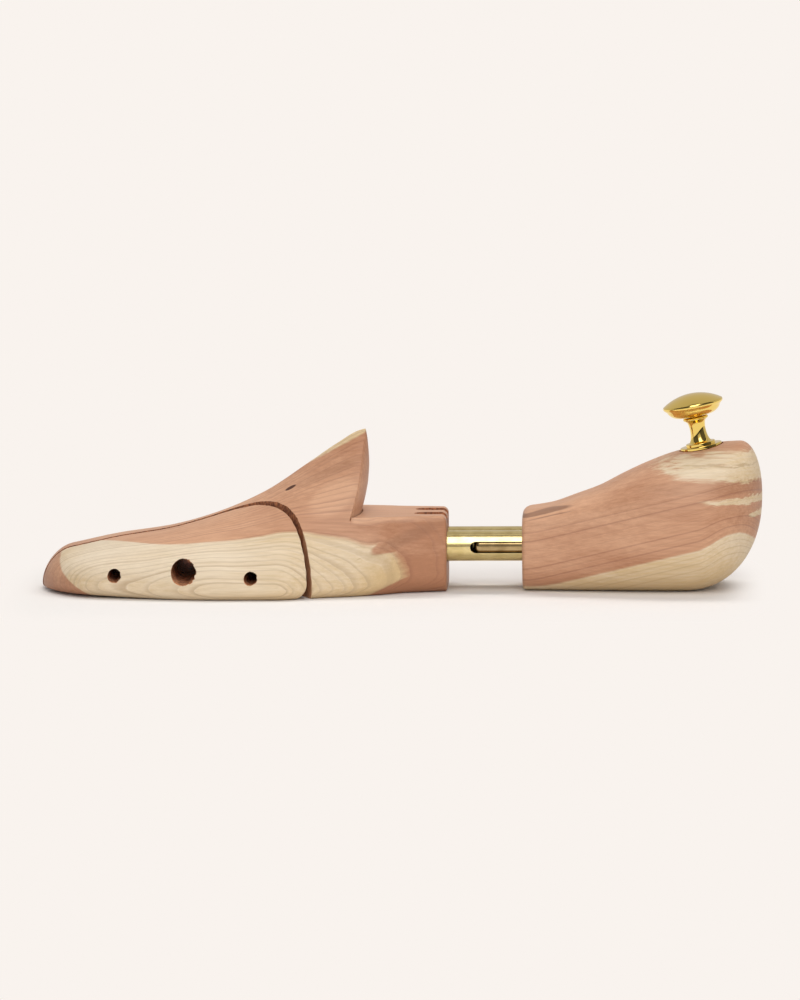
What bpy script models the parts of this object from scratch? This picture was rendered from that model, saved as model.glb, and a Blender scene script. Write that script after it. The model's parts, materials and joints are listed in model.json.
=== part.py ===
"""Cedar shoe tree for a left shoe: two wooden blocks on sprung telescoping tubes.

Metres, +Z up. The toe points to -X and the heel to +X. The outer (lateral) side of the
foot faces -Y. The origin is on the floor, under the middle of the tree.
"""

import math

import bmesh
import bpy
import numpy as np
from mathutils import Matrix, Vector

# Whole tree
FOREPART_LENGTH = 0.1609
BLOCK_GAP = 0.0297
HEEL_LENGTH = 0.0945
FOREPART_WIDTH = 0.080
PEAK_HEIGHT = 0.0638
FIT_GAP = 0.0003
OVERRUN = 0.003

# Toe of the forepart
TOE_OFFSET = 0.004
TOE_TIP_HEIGHT = 0.0018
TOE_SPRING = 0.0009
TOE_HEIGHT = 0.0153
TOE_PLAN_ROUNDING = 0.028
TOE_TOP_ROUNDING = 0.012
TOE_SOLE_ROUNDING = 0.004

# Neck behind the peak
NECK_LENGTH = 0.0308
NECK_HEIGHT = 0.0305
NECK_WIDTH = 0.034
NECK_EDGE_RADIUS = 0.0023
END_EDGE_RADIUS = 0.0008
PEAK_FACE_LEAN = 0.0032
PEAK_FACE_BULGE = 0.0029
PEAK_FACE_HALF_WIDTH = 0.0205
PEAK_TIP_HALF_WIDTH = 0.004
PEAK_FACE_REACH_SHARE = 1.5

# Lower edges of the forepart
SOLE_EDGE_HEIGHT = 0.004
SOLE_EDGE_WIDTH = 0.0045
NECK_SOLE_EDGE_HEIGHT = 0.008
NECK_SOLE_EDGE_WIDTH = 0.0075

# Shapes along the forepart: 0 is the toe, 1 the peak's rear face, 2 the neck's end
RIDGE_SHARES = ((0, 0), (0.097, 0.05), (0.24, 0.132), (0.39, 0.198), (0.53, 0.305), (0.68, 0.478),
                (0.825, 0.732), (0.9, 0.868), (0.975, 0.982), (1.05, 1), (2, 1))
LATERAL_SHARES = ((0, 0.48), (0.1, 0.578), (0.19, 0.652), (0.316, 0.8), (0.427, 0.917), (0.57, 1),
                  (0.72, 1), (0.865, 0.72), (1.11, 0.435), (1.46, 0.18), (2, 0))
MEDIAL_SHARES = ((0, 0.44), (0.1, 0.55), (0.25, 0.81), (0.4, 0.96), (0.53, 1), (0.65, 1),
                 (0.75, 0.939), (0.88, 0.739), (1.11, 0.435), (1.46, 0.18), (2, 0))
SPRING_SHARES = ((0, 1), (0.15, 1), (0.3, 0.5), (0.45, 0), (2, 0))
RIDGE_SIDE_SHARES = ((0, 1), (0.12, 0.85), (0.35, 0.2), (0.5, 0), (2, 0))
NECK_BLEND_SHARES = ((0, 0), (0.9, 0), (1.5, 0.8), (2, 1))
RIDGE_POWERS = ((0, 2.3), (0.3, 2.0), (0.44, 1.8), (0.63, 1.45), (0.79, 1.2), (1, 1.15), (2, 2.2))
SLOPE_POWERS = ((0, 2.3), (0.3, 2.0), (0.44, 1.8), (0.63, 1.4), (0.79, 1.35), (1, 1.45), (2, 2.2))
PEAK_FACE_SHARES = ((0, 1), (0.2, 0.47), (0.39, 0.125), (0.59, 0), (0.85, 0.16), (1, 0.42), (1.12, 0.7))

# Saw kerf that frees the wing
KERF_OFFSET = 0.003
KERF_TURN_START = 0.06855
KERF_TURN_LENGTH = 0.0414
KERF_TURN_WIDTH = 0.042
WING_TRAVEL = 0.0016
WING_CLOSED_GAP = 0.0004

# Vent holes, front to rear: distance from the toe, height and diameter
FRONT_VENT_PLACE = 0.0311
FRONT_VENT_HEIGHT = 0.0092
MIDDLE_VENT_PLACE = 0.0585
MIDDLE_VENT_HEIGHT = 0.011
REAR_VENT_PLACE = 0.0849
REAR_VENT_HEIGHT = 0.0087
SMALL_VENT_DIAMETER = 0.0052
MIDDLE_VENT_DIAMETER = 0.0098

# Wing guides
FRONT_GUIDE_PLACE = 0.0415
REAR_GUIDE_PLACE = 0.0694
GUIDE_HEIGHT = 0.011
GUIDE_PIN_DIAMETER = 0.003
GUIDE_PIN_GRIP = 0.012
GUIDE_HEAD_DIAMETER = 0.0048
GUIDE_HEAD_LENGTH = 0.0015
GUIDE_BUSH_LENGTH = 0.012
GUIDE_BUSH_LIP = 0.0015
GUIDE_BUSH_WALL = 0.00105
WING_SPRING_WIRE = 0.0007
WING_SPRING_DIAMETER = 0.0052
WING_SPRING_POCKET = 0.005
WING_SPRING_TURNS = 4

# Heel block
HEEL_FRONT_HEIGHT = 0.0315
HEEL_HEIGHT = 0.0583
HEEL_FRONT_WIDTH = 0.034
HEEL_WIDTH = 0.056
HEEL_FRONT_EDGE_RADIUS = 0.0016
HEEL_BACK_HEIGHT = 0.037
HEEL_BACK_PLAN_ROUNDING = 0.0276
HEEL_BACK_TOP_ROUNDING = 0.0088
HEEL_BACK_SOLE_ROUNDING = 0.0315

# Shapes along the heel block: 0 is its front face, 1 its back
HEEL_TOP_SHARES = ((0, 0), (0.122, 0.068), (0.222, 0.19), (0.323, 0.323), (0.423, 0.506),
                   (0.524, 0.673), (0.634, 0.82), (0.748, 0.913), (0.85, 0.973), (1, 1))
HEEL_WIDTH_SHARES = ((0, 0), (0.122, 0.18), (0.34, 0.545), (0.55, 0.91), (0.7, 1), (1, 1))
HEEL_LEVEL_SHARES = ((0, 0.4), (0.6, 0.45), (1, 0.5))
HEEL_CROWN_POWERS = ((0, 4.5), (0.3, 3.2), (0.6, 2.6), (0.8, 2.4), (1, 2.3))
HEEL_FLAT_SHARE = 0.3
HEEL_SOLE_POWER = 2.5
PLAN_ROUNDING_POWER = 2.1
TOP_ROUNDING_POWER = 2.1
SOLE_ROUNDING_POWER = 2.2
ROUND_POWER = 2

# Tubes
TUBE_HEIGHT = 0.0175
TUBE_DIAMETER = 0.012
TUBE_WALL = 0.001
BORE_WALL = 0.0008
TUBE_KERF_GAP = 0.0005
HEEL_GRIP = 0.015
CLOSED_GAP = 0.0017
SLOT_SETBACK = 0.0092
SLOT_WIDTH = 0.0046
NOSE_SETBACK = 0.0013
NOSE_RADIUS = 0.0024
TUBE_END_LAND = 0.006
BORE_END_ROOM = 0.003
PLUG_LENGTH = 0.004
STOP_PIN_RECESS = 0.0002
STOP_PIN_END_RECESS = 0.0003
TUBE_SPRING_WIRE = 0.001
TUBE_SPRING_TURNS = 16
END_PITCH_SHARE = 0.9

# Grooves over the tubes
GROOVE_WIDTH = 0.0068
GROOVE_LENGTH = 0.0129
GROOVE_WHEEL_RADIUS = 0.025
GROOVE_BREAK_DEPTH = 0.00075

# Brads that hold the tubes, driven from below
BRAD_SETBACK = 0.0183
BRAD_DIAMETER = 0.0018
BRAD_HEAD_DIAMETER = 0.0034
BRAD_HEAD_LENGTH = 0.0007
BRAD_SINK = 0.0006
BRAD_TIP_LENGTH = 0.0012

# Knob: radii and heights above its seat
KNOB_SETBACK = 0.02385
KNOB_TILT = math.radians(11)
KNOB_SEAT_DEPTH = 0.0009
KNOB_SEAT_ROOM = 0.0006
FLANGE_RADIUS = 0.0083
FLANGE_HEIGHT = 0.0012
STEP_RADIUS = 0.0058
STEP_HEIGHT = 0.0023
STEM_FOOT_RADIUS = 0.0049
STEM_RADIUS = 0.0031
STEM_HEIGHT = 0.0074
BEAD_RADIUS = 0.0050
BEAD_HEIGHT = 0.0119
BEAD_THICKNESS = 0.0011
RIM_RADIUS = 0.01195
RIM_HEIGHT = 0.0176
KNOB_HEIGHT = 0.0219
KNOB_SCREW_DIAMETER = 0.005
KNOB_SCREW_DEPTH = 0.019
KNOB_SCREW_RISE = 0.008
KNOB_SCREW_CHAMFER = 0.0008

# Mesh fineness
ROUND_STEPS = 32
SMALL_ROUND_STEPS = 20
TINY_ROUND_STEPS = 12
CROWN_STEPS = 10
EDGE_STEPS = 4
HEEL_EDGE_STEPS = 7
TOE_STEPS = 8
FOREPART_STEPS = 13
NECK_STEPS = 5
HEEL_STEPS = 10
HEEL_BACK_STEPS = 9
CURVE_STEPS = 8
SPRING_POINTS = 9
MERGE_DISTANCE = 0.00001
SHARP_ANGLE = math.radians(32)

# Derived places along the tree
TREE_LENGTH = FOREPART_LENGTH + BLOCK_GAP + HEEL_LENGTH
TOE_X = -TREE_LENGTH / 2
NECK_END_X = TOE_X + FOREPART_LENGTH
PEAK_X = NECK_END_X - NECK_LENGTH
PEAK_DISTANCE = PEAK_X - TOE_X
HEEL_FRONT_X = NECK_END_X + BLOCK_GAP
HEEL_BACK_X = HEEL_FRONT_X + HEEL_LENGTH
TRAVEL = BLOCK_GAP - CLOSED_GAP
KERF_WIDTH = WING_TRAVEL + WING_CLOSED_GAP
KERF_TURN_X = TOE_X + KERF_TURN_START

# Derived tube sizes
TUBE_RADIUS = TUBE_DIAMETER / 2
TUBE_BORE_RADIUS = TUBE_RADIUS + FIT_GAP
TUBE_OFFSET = TUBE_BORE_RADIUS + BORE_WALL / 2
TUBE_INSIDE_RADIUS = TUBE_RADIUS - TUBE_WALL
INNER_RADIUS = TUBE_INSIDE_RADIUS - FIT_GAP
INNER_INSIDE_RADIUS = INNER_RADIUS - TUBE_WALL
INNER_BORE_RADIUS = INNER_RADIUS + FIT_GAP
STOP_PIN_RADIUS = SLOT_WIDTH / 2 - FIT_GAP
TUBE_FRONT_X = KERF_TURN_X + KERF_TURN_LENGTH + TUBE_KERF_GAP
FOREPART_GRIP = NECK_END_X - TUBE_FRONT_X
PLUG_BACK_X = TUBE_FRONT_X + PLUG_LENGTH
SLOT_FRONT_X = NECK_END_X + SLOT_SETBACK
STOP_X = SLOT_FRONT_X + FIT_GAP + STOP_PIN_RADIUS + TRAVEL
SLOT_BACK_X = STOP_X + STOP_PIN_RADIUS + FIT_GAP
TUBE_BACK_X = SLOT_BACK_X + TUBE_END_LAND
WIDE_BORE_BACK_X = TUBE_BACK_X + TRAVEL + BORE_END_ROOM
INNER_FRONT_X = SLOT_FRONT_X + NOSE_SETBACK
INNER_BACK_X = WIDE_BORE_BACK_X + HEEL_GRIP
HEEL_BRAD_X = WIDE_BORE_BACK_X + HEEL_GRIP / 2
NECK_BRAD_X = NECK_END_X - BRAD_SETBACK

# Derived guide sizes
BODY_FACE_Y = -KERF_OFFSET
WING_FACE_Y = BODY_FACE_Y - KERF_WIDTH
GUIDE_PIN_RADIUS = GUIDE_PIN_DIAMETER / 2
GUIDE_HEAD_RADIUS = GUIDE_HEAD_DIAMETER / 2
GUIDE_BUSH_INSIDE_RADIUS = GUIDE_HEAD_RADIUS + FIT_GAP
GUIDE_BUSH_RADIUS = GUIDE_BUSH_INSIDE_RADIUS + GUIDE_BUSH_WALL
WING_SPRING_OUTER_RADIUS = (WING_SPRING_DIAMETER + WING_SPRING_WIRE) / 2

SIDES = {"lateral": -1, "medial": 1}
GUIDES = {"front": FRONT_GUIDE_PLACE, "rear": REAR_GUIDE_PLACE}
VENTS = {
    "front": (FRONT_VENT_PLACE, FRONT_VENT_HEIGHT, SMALL_VENT_DIAMETER),
    "middle": (MIDDLE_VENT_PLACE, MIDDLE_VENT_HEIGHT, MIDDLE_VENT_DIAMETER),
    "rear": (REAR_VENT_PLACE, REAR_VENT_HEIGHT, SMALL_VENT_DIAMETER),
}
ALONG_X = (0, math.pi / 2, 0)
ALONG_Y = (-math.pi / 2, 0, 0)
UPRIGHT = (0, 0, 0)


# Scene and materials
def clear_scene():
    """Remove every object and leave an empty scene."""
    for old in list(bpy.data.objects):
        bpy.data.objects.remove(old, do_unlink=True)


def new_collection(name):
    """Make a collection and link it to the scene."""
    made = bpy.data.collections.new(name)
    bpy.context.scene.collection.children.link(made)
    return made


def new_material(name, colour, roughness, metallic):
    """Make a Principled material of one plain colour."""
    made = bpy.data.materials.new(name)
    made.use_nodes = True
    shader = made.node_tree.nodes["Principled BSDF"]
    shader.inputs["Base Color"].default_value = (*colour, 1)
    shader.inputs["Roughness"].default_value = roughness
    shader.inputs["Metallic"].default_value = metallic
    made.diffuse_color = (*colour, 1)
    return made


MATERIAL_LOOKS = {
    "body_cedar": ((0.60, 0.33, 0.21), 0.6, 0),
    "wing_cedar": ((0.76, 0.60, 0.40), 0.6, 0),
    "heel_cedar": ((0.62, 0.36, 0.24), 0.6, 0),
    "polished_brass": ((0.83, 0.62, 0.22), 0.12, 1),
    "drawn_brass": ((0.72, 0.58, 0.28), 0.25, 1),
    "inner_brass": ((0.66, 0.52, 0.26), 0.3, 1),
    "spring_steel": ((0.45, 0.46, 0.48), 0.3, 1),
    "pin_steel": ((0.55, 0.56, 0.58), 0.35, 1),
    "bush_brass": ((0.70, 0.55, 0.25), 0.3, 1),
}


def material_for(piece, look):
    """Give a piece its own copy of a look."""
    colour, roughness, metallic = MATERIAL_LOOKS[look]
    return new_material(piece + "_" + look, colour, roughness, metallic)


# Curves through hand-chosen points
def read_table(table, places):
    """Read a table at the given places with a smooth curve that never overshoots."""
    knots, values = np.array(table, dtype=float).T
    places = np.clip(np.asarray(places, dtype=float), knots[0], knots[-1])
    steps = np.diff(knots)
    slopes = np.diff(values) / steps
    tangents = np.empty(len(knots))
    tangents[0] = slopes[0]
    tangents[-1] = slopes[-1]
    before = slopes[:-1]
    after = slopes[1:]
    same_way = before * after > 0
    total = np.where(same_way, before + after, 1)
    tangents[1:-1] = np.where(same_way, 2 * before * after / total, 0)
    index = np.clip(np.searchsorted(knots, places, side="right") - 1, 0, len(steps) - 1)
    part = (places - knots[index]) / steps[index]
    rise = part * part * (3 - 2 * part)
    level = values[index] + (values[index + 1] - values[index]) * rise
    bend_in = part * (1 - part) ** 2 * steps[index] * tangents[index]
    bend_out = part * part * (part - 1) * steps[index] * tangents[index + 1]
    return level + bend_in + bend_out


def rounding(distance, reach, power):
    """Rise from 0 to 1 over the reach, as the quarter of a superellipse."""
    left = 1 - np.clip(np.asarray(distance, dtype=float) / reach, 0, 1)
    return (1 - left ** power) ** (1 / power)


def section_ring(near, far, ridge, bottom, top, level, flat_share, powers, edge_steps):
    """Return the (y, z) points of one cross-section, from its ridge down the near side.

    Each side is a superellipse from the ridge to the widest level, then the quarter of
    another down to the flat sole.
    """
    ridge_power, slope_power, sole_power = powers
    crown = np.linspace(math.pi / 2, 0, CROWN_STEPS + 1)
    edge = np.linspace(0, math.pi / 2, edge_steps + 1)[1:]
    crown_reach = np.cos(crown).clip(0) ** (2 / ridge_power)
    crown_height = level + (top - level) * np.sin(crown) ** (2 / slope_power)
    edge_reach = flat_share + (1 - flat_share) * np.cos(edge).clip(0) ** (2 / sole_power)
    edge_height = level - (level - bottom) * np.sin(edge) ** (2 / sole_power)
    reach = np.concatenate([crown_reach, edge_reach])
    height = np.concatenate([crown_height, edge_height])
    near_side = np.stack([ridge - (ridge - near) * reach, height], axis=1)
    far_side = np.stack([ridge + (far - ridge) * reach, height], axis=1)
    return np.concatenate([near_side, far_side[:0:-1]])


def along_forepart(table, distance):
    """Read a table of the forepart at a distance from the toe, smooth in length across the peak."""
    knots = []
    for share, value in table:
        before_peak = min(share, 1) * PEAK_DISTANCE
        behind_peak = max(share - 1, 0) * NECK_LENGTH
        knots.append((before_peak + behind_peak, value))
    return read_table(knots, distance)


def forepart_lines(distance):
    """Return the section's near side, far side, ridge, bottom and top at a distance from the toe."""
    half_width = FOREPART_WIDTH / 2
    half_neck = NECK_WIDTH / 2
    lateral = half_neck + (half_width - half_neck) * along_forepart(LATERAL_SHARES, distance)
    medial = half_neck + (half_width - half_neck) * along_forepart(MEDIAL_SHARES, distance)
    ridge_height = TOE_HEIGHT + (PEAK_HEIGHT - TOE_HEIGHT) * along_forepart(RIDGE_SHARES, distance)
    plan = rounding(distance, TOE_PLAN_ROUNDING, ROUND_POWER)
    near = TOE_OFFSET - (lateral + TOE_OFFSET) * plan
    far = TOE_OFFSET + (medial - TOE_OFFSET) * plan
    ridge = TOE_OFFSET * along_forepart(RIDGE_SIDE_SHARES, distance)
    sole = TOE_SPRING * along_forepart(SPRING_SHARES, distance)
    bottom = TOE_TIP_HEIGHT + (sole - TOE_TIP_HEIGHT) * rounding(distance, TOE_SOLE_ROUNDING, ROUND_POWER)
    top_rise = rounding(distance, TOE_TOP_ROUNDING, ROUND_POWER)
    top = TOE_TIP_HEIGHT + (ridge_height - TOE_TIP_HEIGHT) * top_rise
    return near, far, ridge, bottom, top


def forepart_ring(distance, inset):
    """Return the 3-D ring of the forepart's blank at a distance from the toe."""
    near, far, ridge, bottom, top = forepart_lines(distance)
    blend = along_forepart(NECK_BLEND_SHARES, distance)
    edge_height = SOLE_EDGE_HEIGHT + (NECK_SOLE_EDGE_HEIGHT - SOLE_EDGE_HEIGHT) * blend
    edge_width = SOLE_EDGE_WIDTH + (NECK_SOLE_EDGE_WIDTH - SOLE_EDGE_WIDTH) * blend
    level = bottom + min(edge_height, (top - bottom) / 3)
    mean_half = (far - near) / 2
    flat_share = 1 - min(edge_width / mean_half, 1 / 2)
    powers = (along_forepart(RIDGE_POWERS, distance), along_forepart(SLOPE_POWERS, distance),
              ROUND_POWER)
    outline = section_ring(near + inset, far - inset, ridge, bottom + inset, top - inset,
                           level, flat_share, powers, EDGE_STEPS)
    return np.column_stack([np.full(len(outline), TOE_X + distance), outline])


def heel_top(distance):
    """Return the height of the heel's top line at a distance behind its front face."""
    share = distance / HEEL_LENGTH
    line = HEEL_FRONT_HEIGHT + (HEEL_HEIGHT - HEEL_FRONT_HEIGHT) * read_table(HEEL_TOP_SHARES, share)
    rise = rounding(HEEL_LENGTH - distance, HEEL_BACK_TOP_ROUNDING, TOP_ROUNDING_POWER)
    return HEEL_BACK_HEIGHT + (line - HEEL_BACK_HEIGHT) * rise


def heel_ring(distance, inset):
    """Return the 3-D ring of the heel's blank at a distance behind its front face."""
    share = distance / HEEL_LENGTH
    left = HEEL_LENGTH - distance
    half_front = HEEL_FRONT_WIDTH / 2
    half_width = half_front + (HEEL_WIDTH / 2 - half_front) * read_table(HEEL_WIDTH_SHARES, share)
    half_width *= rounding(left, HEEL_BACK_PLAN_ROUNDING, PLAN_ROUNDING_POWER)
    top = heel_top(distance)
    bottom = HEEL_BACK_HEIGHT * (1 - rounding(left, HEEL_BACK_SOLE_ROUNDING, SOLE_ROUNDING_POWER))
    level = bottom + (top - bottom) * read_table(HEEL_LEVEL_SHARES, share)
    crown = read_table(HEEL_CROWN_POWERS, share)
    outline = section_ring(-half_width + inset, half_width - inset, 0, bottom + inset, top - inset,
                           level, HEEL_FLAT_SHARE, (crown, crown, HEEL_SOLE_POWER), HEEL_EDGE_STEPS)
    return np.column_stack([np.full(len(outline), HEEL_FRONT_X + distance), outline])


# Mesh makers
def add_object(name, mesh, collection):
    """Link a mesh to a collection as a new object."""
    made = bpy.data.objects.new(name, mesh)
    collection.objects.link(made)
    return made


def mesh_from_rings(name, rings, pole):
    """Skin a run of rings that starts with a flat face and ends at a pole, or at a flat face."""
    rings = np.array(rings)
    count, size = rings.shape[:2]
    points = [tuple(point) for point in rings.reshape(-1, 3)]
    faces = [tuple(reversed(range(size)))]
    for row in range(count - 1):
        for column in range(size):
            beside = (column + 1) % size
            low = row * size
            high = low + size
            faces.append((low + column, low + beside, high + beside, high + column))
    last = (count - 1) * size
    if pole is None:
        faces.append(tuple(range(last, last + size)))
    else:
        points.append(tuple(pole))
        for column in range(size):
            faces.append((last + column, last + (column + 1) % size, len(points) - 1))
    mesh = bpy.data.meshes.new(name)
    mesh.from_pydata(points, [], faces)
    shell = bmesh.new()
    shell.from_mesh(mesh)
    bmesh.ops.remove_doubles(shell, verts=shell.verts, dist=MERGE_DISTANCE)
    bmesh.ops.recalc_face_normals(shell, faces=shell.faces)
    shell.to_mesh(mesh)
    shell.free()
    return mesh


def make_prism(name, outline, low, high, across_y, collection):
    """Extrude a flat outline along Z, or along Y where across_y is set."""
    shell = bmesh.new()
    if across_y:
        corners = [shell.verts.new((a, low, b)) for a, b in outline]
        step = Vector((0, high - low, 0))
    else:
        corners = [shell.verts.new((a, b, low)) for a, b in outline]
        step = Vector((0, 0, high - low))
    face = shell.faces.new(corners)
    grown = bmesh.ops.extrude_face_region(shell, geom=[face])
    moved = [item for item in grown["geom"] if isinstance(item, bmesh.types.BMVert)]
    bmesh.ops.translate(shell, verts=moved, vec=step)
    bmesh.ops.recalc_face_normals(shell, faces=shell.faces)
    mesh = bpy.data.meshes.new(name)
    shell.to_mesh(mesh)
    shell.free()
    return add_object(name, mesh, collection)


def make_rod(name, radius, length, place, turn, steps, collection):
    """Make a cylinder that starts at a place and runs along its own Z."""
    shell = bmesh.new()
    bmesh.ops.create_cone(shell, cap_ends=True, segments=steps, radius1=radius, radius2=radius,
                          depth=length, matrix=Matrix.Translation((0, 0, length / 2)))
    mesh = bpy.data.meshes.new(name)
    shell.to_mesh(mesh)
    shell.free()
    made = add_object(name, mesh, collection)
    made.location = place
    made.rotation_euler = turn
    return made


def make_turned(name, profile, closed, place, turn, steps, collection):
    """Turn a profile of (radius, height) points about its own Z with a Screw modifier."""
    mesh = bpy.data.meshes.new(name)
    points = [(radius, 0, height) for radius, height in profile]
    edges = [(i, i + 1) for i in range(len(points) - 1)]
    if closed:
        edges.append((len(points) - 1, 0))
    mesh.from_pydata(points, edges, [])
    made = add_object(name, mesh, collection)
    made.location = place
    made.rotation_euler = turn
    screw = made.modifiers.new("Turn", "SCREW")
    screw.axis = "Z"
    screw.angle = 2 * math.pi
    screw.steps = steps
    screw.render_steps = steps
    screw.use_merge_vertices = True
    screw.merge_threshold = MERGE_DISTANCE
    screw.use_smooth_shade = True
    return made


def make_spring(name, radius, wire, turns, length, place, turn, collection):
    """Wind a compression spring along its own Z, with closer end turns, and print its least gap."""
    count = turns * SPRING_POINTS + 1
    angle = np.linspace(0, turns * 2 * math.pi, count)
    along = np.linspace(0, turns, count)
    inside = np.clip(along, 1, turns - 1) - 1
    end_pitch = (length - wire) / turns * END_PITCH_SHARE
    middle_pitch = (length - wire - 2 * end_pitch) / (turns - 2)
    rise = end_pitch * (along - inside) + middle_pitch * inside
    points = np.stack([radius * np.cos(angle), radius * np.sin(angle), wire / 2 + rise], axis=1)
    curve = bpy.data.curves.new(name, "CURVE")
    curve.dimensions = "3D"
    curve.bevel_depth = wire / 2
    curve.bevel_resolution = 1
    curve.render_resolution_u = 0
    curve.use_fill_caps = True
    spline = curve.splines.new("POLY")
    spline.points.add(count - 1)
    for slot, point in zip(spline.points, points):
        slot.co = (*point, 1)
    made = add_object(name, curve, collection)
    made.location = place
    made.rotation_euler = turn
    apart = np.linalg.norm(points[:, None] - points[None], axis=2)
    rows = np.arange(count)
    near = np.abs(rows[:, None] - rows[None]) <= SPRING_POINTS // 2
    print(name, "least gap to itself", round(float(apart[~near].min() - wire), 5), "m")
    return made


def cut(piece, cutters, operation="DIFFERENCE"):
    """Add an exact Boolean modifier for each cutter."""
    for cutter in cutters:
        boolean = piece.modifiers.new(cutter.name, "BOOLEAN")
        boolean.operation = operation
        boolean.solver = "EXACT"
        boolean.object = cutter


def hide_cutters(cutters):
    """Show the cutters as wires and leave them out of renders."""
    for cutter in cutters.objects:
        cutter.hide_render = True
        cutter.display_type = "WIRE"


def smooth(piece):
    """Shade a mesh smooth apart from its sharp edges."""
    piece.data.shade_smooth()
    piece.data.set_sharp_from_angle(angle=SHARP_ANGLE)


def arc_points(centre, radius_a, radius_b, start, end, steps):
    """Return points along an elliptic arc."""
    angles = np.linspace(start, end, steps + 1)
    return [(centre[0] + radius_a * math.cos(a), centre[1] + radius_b * math.sin(a)) for a in angles]


# Cutters of the forepart
def kerf_outline(extra):
    """Return the plan outline of the wing's side, grown by extra towards the body."""
    centre = (KERF_TURN_X, WING_FACE_Y - (KERF_TURN_WIDTH - KERF_WIDTH))
    length = KERF_TURN_LENGTH - KERF_WIDTH + extra
    width = KERF_TURN_WIDTH - KERF_WIDTH + extra
    front_x = TOE_X - OVERRUN
    side_y = min(-FOREPART_WIDTH / 2, centre[1]) - OVERRUN
    turn = arc_points(centre, length, width, math.pi / 2, 0, CURVE_STEPS * 2)
    return [(front_x, WING_FACE_Y + extra), *turn, (KERF_TURN_X + length, side_y), (front_x, side_y)]


def wing_region(name, extra, cutters):
    """Make the block of space in front of and beside the kerf."""
    return make_prism(name, kerf_outline(extra), -OVERRUN, PEAK_HEIGHT + OVERRUN, False, cutters)


def notch_cutter(cutters):
    """Make the cutter behind the peak: it leaves the peak's bulged rear face and the neck."""
    face_height = PEAK_HEIGHT - NECK_HEIGHT
    heights = np.linspace(0, PEAK_FACE_SHARES[-1][0], CURVE_STEPS + 1)
    lean = PEAK_FACE_LEAN * read_table(PEAK_FACE_SHARES, heights)
    half_width = PEAK_FACE_HALF_WIDTH * np.clip(1 - heights, 0, 1) + PEAK_TIP_HALF_WIDTH * heights
    edge_x = NECK_END_X - NECK_EDGE_RADIUS
    edge = arc_points((edge_x, NECK_HEIGHT - NECK_EDGE_RADIUS), NECK_EDGE_RADIUS, NECK_EDGE_RADIUS,
                      math.pi / 2, 0, CURVE_STEPS // 2)
    back_x = NECK_END_X + OVERRUN
    top_z = NECK_HEIGHT + face_height * heights[-1]
    rest = [*edge, (back_x, edge[-1][1]), (back_x, top_z)]
    rings = []
    reach = FOREPART_WIDTH / 2 + OVERRUN
    for side in np.linspace(-1, 1, CURVE_STEPS * 2 + 1):
        y = reach * side
        across = np.clip(np.abs(y) / half_width, 0, PEAK_FACE_REACH_SHARE)
        face_x = PEAK_X - lean - PEAK_FACE_BULGE * across ** 2
        face = np.column_stack([face_x, np.full(len(heights), y), NECK_HEIGHT + face_height * heights])
        tail = np.array([(x, y, z) for x, z in rest])
        rings.append(np.concatenate([face[::-1], tail]))
    mesh = mesh_from_rings("notch_cutter", rings, None)
    return add_object("notch_cutter", mesh, cutters)


def vent_cutters(cutters):
    """Make the rods that drill the vent holes from side to side."""
    made = []
    for name, (place, height, diameter) in VENTS.items():
        start = (TOE_X + place, -FOREPART_WIDTH / 2 - OVERRUN, height)
        length = FOREPART_WIDTH + 2 * OVERRUN
        steps = ROUND_STEPS if name == "middle" else SMALL_ROUND_STEPS
        made.append(make_rod(name + "_vent_cutter", diameter / 2, length, start, ALONG_Y, steps, cutters))
    return made


def groove_cutter(name, side_y, cutters):
    """Make the wheel-shaped cut over a tube: it runs out at the neck's top and opens the bore."""
    floor_z = TUBE_HEIGHT + TUBE_BORE_RADIUS - GROOVE_BREAK_DEPTH
    depth = NECK_HEIGHT - floor_z
    start_x = NECK_END_X - GROOVE_LENGTH
    span = math.hypot(GROOVE_LENGTH, depth)
    lean = math.atan2(depth, GROOVE_LENGTH)
    reach = math.sqrt(GROOVE_WHEEL_RADIUS ** 2 - span ** 2 / 4)
    middle = ((start_x + NECK_END_X) / 2, (NECK_HEIGHT + floor_z) / 2)
    centre = (middle[0] + reach * math.sin(lean), middle[1] + reach * math.cos(lean))
    first = math.atan2(NECK_HEIGHT - centre[1], start_x - centre[0])
    last = math.atan2(floor_z - centre[1], NECK_END_X - centre[0])
    sweep = (last - first) % (2 * math.pi)
    floor = arc_points(centre, GROOVE_WHEEL_RADIUS, GROOVE_WHEEL_RADIUS, first, first + sweep, CURVE_STEPS)
    top_z = NECK_HEIGHT + OVERRUN
    back_x = NECK_END_X + OVERRUN
    outline = [(start_x, top_z), *floor, (back_x, floor_z), (back_x, top_z)]
    low = side_y - GROOVE_WIDTH / 2
    return make_prism(name, outline, low, low + GROOVE_WIDTH, True, cutters)


def brad_cutters(label, x, top_z, cutters):
    """Make the holes for a pair of brads: a shank hole and a sunk seat for each head."""
    made = []
    for side, sign in SIDES.items():
        y = sign * TUBE_OFFSET
        radius = BRAD_DIAMETER / 2 + FIT_GAP
        shank = make_rod(f"{label}_{side}_shank_cutter", radius, top_z + radius + OVERRUN,
                         (x, y, -OVERRUN), UPRIGHT, TINY_ROUND_STEPS, cutters)
        seat_depth = BRAD_SINK + BRAD_HEAD_LENGTH + FIT_GAP
        seat = make_rod(f"{label}_{side}_seat_cutter", BRAD_HEAD_DIAMETER / 2 + FIT_GAP,
                        seat_depth + OVERRUN, (x, y, -OVERRUN), UPRIGHT, TINY_ROUND_STEPS, cutters)
        made += [shank, seat]
    return made


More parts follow.
